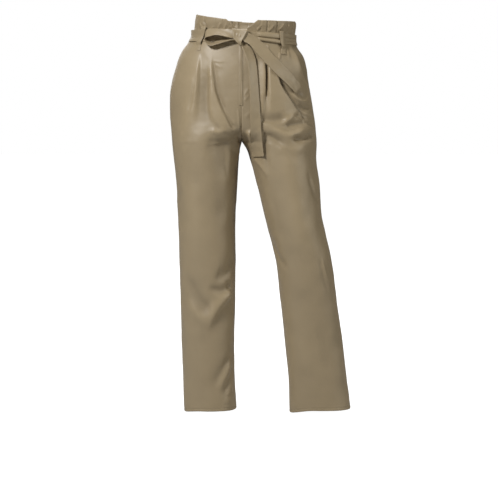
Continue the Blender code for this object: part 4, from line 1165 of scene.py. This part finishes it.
def makeLoops():
    for row in loops:
        grids = loopGrid(row)
        loopFaces.append(grids[0])
        sewWall(f"loop_{row.name}_cloth", grids, ("coatedCloth", "coatedCloth"), f"belt_loop_{row.name}",
                (*loopSize["cut"], None, "folded", [f"sash_{sides[row.side]}_cloth"]))


makeLoops()
print("belt loops sewn")


# fly

flySize = {
    "top": -22 * mm, "foot": -166 * mm, "width": 10.5 * mm, "shift": -2.5 * mm, "cloth": 1.0 * mm,
    "lift": 0.15 * mm, "rows": 100, "columns": 15, "bow": 0.2 * mm, "stitchIn": 1.6 * mm,
    "stitchDip": (0.3 * mm, 0.8 * mm), "cut": (0.0105, 0.145),
}


def flyLine(x, levels, out):
    side = right if x < 0 else left
    return [clothPoints(side, level, -wayOfX(side, level, x), out)[0][0] for level in levels]


def makeFly():
    size = flySize
    levels = np.linspace(size["top"], size["foot"] + size["cloth"] / 2, size["rows"])
    half = size["width"] / 2 - size["cloth"] / 2
    depth, width = size["stitchDip"]
    outer, inner = [], []
    for across in np.linspace(-half, half, size["columns"]):
        dips = bell(across + half - size["stitchIn"], width) + bell(across - half + size["stitchIn"], width)
        bow = size["bow"] * (1 - (across / half) ** 2) - depth * dips
        outer.append(flyLine(size["shift"] + across, levels, size["lift"] + size["cloth"] + bow))
        inner.append(flyLine(size["shift"] + across, levels, size["lift"]))
    grids = tilted(outer), tilted(inner)
    sewWall("fly_cloth", grids, ("coatedCloth", "coatedCloth"), "fly",
            (*size["cut"], None, "hung", ["front_right_cloth"]))
    return grids[0]


flyFace = makeFly()
print("fly laid over the centre seam")


# the tie in front: strips of the sash through stations, in millimetres. A station gives the x and z of
# an edge as seen from the front and how far it stands off the cloth behind, then the other edge's, then
# how far the middle is raised.

ties = {
    "knot": {
        "rows": 60, "node": "sash_knot", "cut": (0.034, 0.050), "stations": [
            (-19, 5, 5.1, 10.5, 4.5, 5.1, 0), (-20.5, 12, 5.3, 11.5, 11, 5.3, 0),
            (-22, 15.8, 10, 12.6, 15, 10, 0.5), (-22.2, 13.6, 16.6, 14.2, 11.8, 17.4, 1),
            (-21.4, 4, 17.8, 10.2, 3.2, 19.2, 1), (-20.3, -6, 18.4, 4.6, -6.2, 19.8, 1),
            (-12.6, -15.2, 18.4, 0.2, -14.6, 19, 0.5), (-4.8, -23, 15, -1.2, -22.5, 15, 0),
        ]},
    "bow_loop": {
        "rows": 150, "node": "sash_bow_loop", "cut": (0.028, 0.185), "stations": [
            (-8.5, 9, 11.5, -7.5, -6, 13.5, 0), (-17, 12.5, 12, -15.5, -7, 14.5, 0),
            (-29, 15, 10.5, -27, -6, 18.5, 1), (-47, 15.8, 8, -46, -1.6, 26, 2),
            (-62, 16.2, 8, -61, 0.8, 29, 2), (-76, 16.4, 8.5, -76.5, -2.4, 28, 1),
            (-84.5, 13.5, 8.5, -86, -5, 24.5, 1), (-86.8, 3, 7.5, -89.2, -11.5, 22.5, 0.5),
            (-82.5, -10, 6.5, -84, -19.6, 21, 0.3), (-72, -17, 6, -72.5, -24, 20, 0),
            (-57, -12.6, 5.8, -57, -20.4, 18.5, 0), (-42.5, -9, 5.6, -42, -15.6, 17, 0),
            (-27, -6, 5.6, -26, -12, 15, 0), (-16, -4, 5.5, -15, -10.5, 13, 0),
            (-8.5, -2.5, 5, -7.5, -11, 11, 0),
        ]},
    "hanging_tail": {
        "rows": 130, "node": "sash_tail_hanging", "cut": (0.028, 0.290), "stations": [
            (-3, -13, 9.5, 6.5, -10, 4.2, 0), (-1, -24, 13, 14.5, -21, 5, 2),
            (3.5, -34, 15.5, 23.5, -31, 4.4, 2), (9, -48, 16, 30.5, -46, 4.2, 1.4),
            (14.4, -64, 15.5, 34.4, -62, 4.2, 0.8), (17, -82, 15, 36.8, -82, 4.2, 0.3),
            (18.4, -106, 14.5, 39, -106, 4.2, 0), (19.6, -135, 14, 41.2, -135, 4.2, 0),
            (20.4, -175, 12.5, 44, -175, 4.6, 0), (21.4, -215, 11, 46.6, -215, 5.5, 0.5),
            (23, -255, 11, 49.6, -255, 7.5, 1), (25.4, -290.5, 12.5, 53, -287, 9.5, 0),
        ]},
    "slanted_tail": {
        "rows": 100, "node": "sash_tail_slanted", "cut": (0.028, 0.190), "stations": [
            (0, -8.5, 16.8, 8, 8, 16.3, 0), (6, -15, 14.5, 19, 5, 15, 1), (19, -23, 15, 34, -4, 13, 1),
            (37, -43, 14, 56, -23, 11, 1), (59, -68, 12, 78, -48, 11, 1), (81, -90, 11, 101, -70, 9.5, 1),
            (106, -113, 10, 124, -94, 8, 1), (129, -136, 9, 144, -118, 7, 0),
        ]},
}
tieSize = {
    "cloth": 2.0 * mm, "columns": 19, "ripple": (0.30 * mm, 24 * mm, 21), "pucker": (0.25 * mm, 8 * mm, 31),
}
dents = {"knot": ((-10.0, 1.5, 1.5, 3.6, 1.6), (-4.4, -1.0, 1.3, 3.2, 1.2), (-17.5, 0.0, 1.6, 7.0, 0.7))}


def tieGrid(name):
    stations = np.array(ties[name]["stations"], float) * mm
    steps = np.linspace(0, len(stations) - 1, ties[name]["rows"])
    rows = curveThrough(np.arange(len(stations)), stations, steps)
    half = tieSize["cloth"] / 2
    across = np.linspace(0, 1, tieSize["columns"])
    middle = []
    for ax, az, aOut, bx, bz, bOut, _ in rows:
        a = np.array((ax, depthAt(ax, az, ahead) - aOut, az))
        b = np.array((bx, depthAt(bx, bz, ahead) - bOut, bz))
        inset = half / np.linalg.norm(b - a)
        middle.append([a + (b - a) * (inset + (1 - 2 * inset) * v) for v in across])
    middle = np.array(middle)
    normals = unit(np.cross(np.gradient(middle, axis=1), np.gradient(middle, axis=0)))
    arched, edged = np.sin(across * math.pi)[None], (np.abs(across - 0.5)[None] * 2) ** 3
    lift = rows[:, 6][:, None] * arched
    for (height, scale, seed), share in ((tieSize["ripple"], arched), (tieSize["pucker"], edged)):
        lift = lift + height * ripple(middle, scale, seed) * share
    for x, z, wide, tall, depth in dents.get(name, ()):
        near = ((middle[..., 0] - x * mm) / (wide * mm)) ** 2 + ((middle[..., 2] - z * mm) / (tall * mm)) ** 2
        lift = lift - depth * mm * np.exp(-near)
    middle = middle + normals * lift[..., None]
    return [(middle + normals * out).transpose(1, 0, 2) for out in (half, -half)]


def makeTies():
    for name, tie in ties.items():
        sewWall(f"sash_{name}_cloth", tieGrid(name), ("sashCloth", "sashCloth"), tie["node"],
                (*tie["cut"], None, "folded", ["sash_right_cloth"]), rim=4)


makeTies()
print("tie made")


# stitches

stitchLook = {
    "spacing": 3.1 * mm, "length": 2.3 * mm, "thread": 0.55 * mm, "out": 0.05 * mm, "hemSink": 0.42 * mm,
    "hemPoints": 90, "pocketPoints": 40, "pocketInsets": (2.2 * mm, 8.0 * mm), "clear": 2 * mm,
}


def lineOnCloth(side, levels, reaches, out=0.0):
    out += stitchLook["out"]
    return tilted([clothPoints(side, level, reach, out)[0][0] for level, reach in zip(levels, reaches)])


def hemLines():
    level, count, clear = legForm["hem"] + panel["hemStitchUp"], stitchLook["hemPoints"], stitchLook["clear"]
    for side in sides:
        total = halfGirth(side, level)
        for low, high in ((-total + clear, -clear), (clear, total - clear)):
            yield lineOnCloth(side, [level] * count, np.linspace(low, high, count), -stitchLook["hemSink"])


def pocketLines():
    for side in sides:
        foot = pocket["foot"][side] + stitchLook["clear"]
        levels = np.linspace(flySize["top"], foot, stitchLook["pocketPoints"])
        for inset in stitchLook["pocketInsets"]:
            yield lineOnCloth(side, levels, [-(mouthReach(side, level) + inset) for level in levels])


def flyLines():
    return [flyFace[2][2:-2], flyFace[-3][2:-2]]


def loopLines():
    for face in loopFaces:
        yield from (face[1][3:-3], face[-2][3:-3], face[1:-1, -4], face[1:-1, -7], face[1:-1, 3])


def makeStitches():
    tree, look = stitchTree(), stitchLook
    for name, lines, scale in (("hem", hemLines(), 1.0), ("pocket", pocketLines(), 1.0),
                               ("fly", flyLines(), 1.0), ("loop", loopLines(), 0.75)):
        points, edges = [], []
        for line in lines:
            edges += [(k, k + 1) for k in range(len(points), len(points) + len(line) - 1)]
            points += [tuple(point) for point in line]
        mesh = bpy.data.meshes.new(name + "_lines")
        mesh.from_pydata(points, edges, [])
        inputs = {"Spacing": look["spacing"] * scale, "Stitch Length": look["length"] * scale,
                  "Thread": look["thread"], "Material": materials["sewingThread"]}
        addPiece(name + "_stitches", treeGrown(name + "_stitches", mesh, tree, inputs))


makeStitches()
print("stitches sewn")
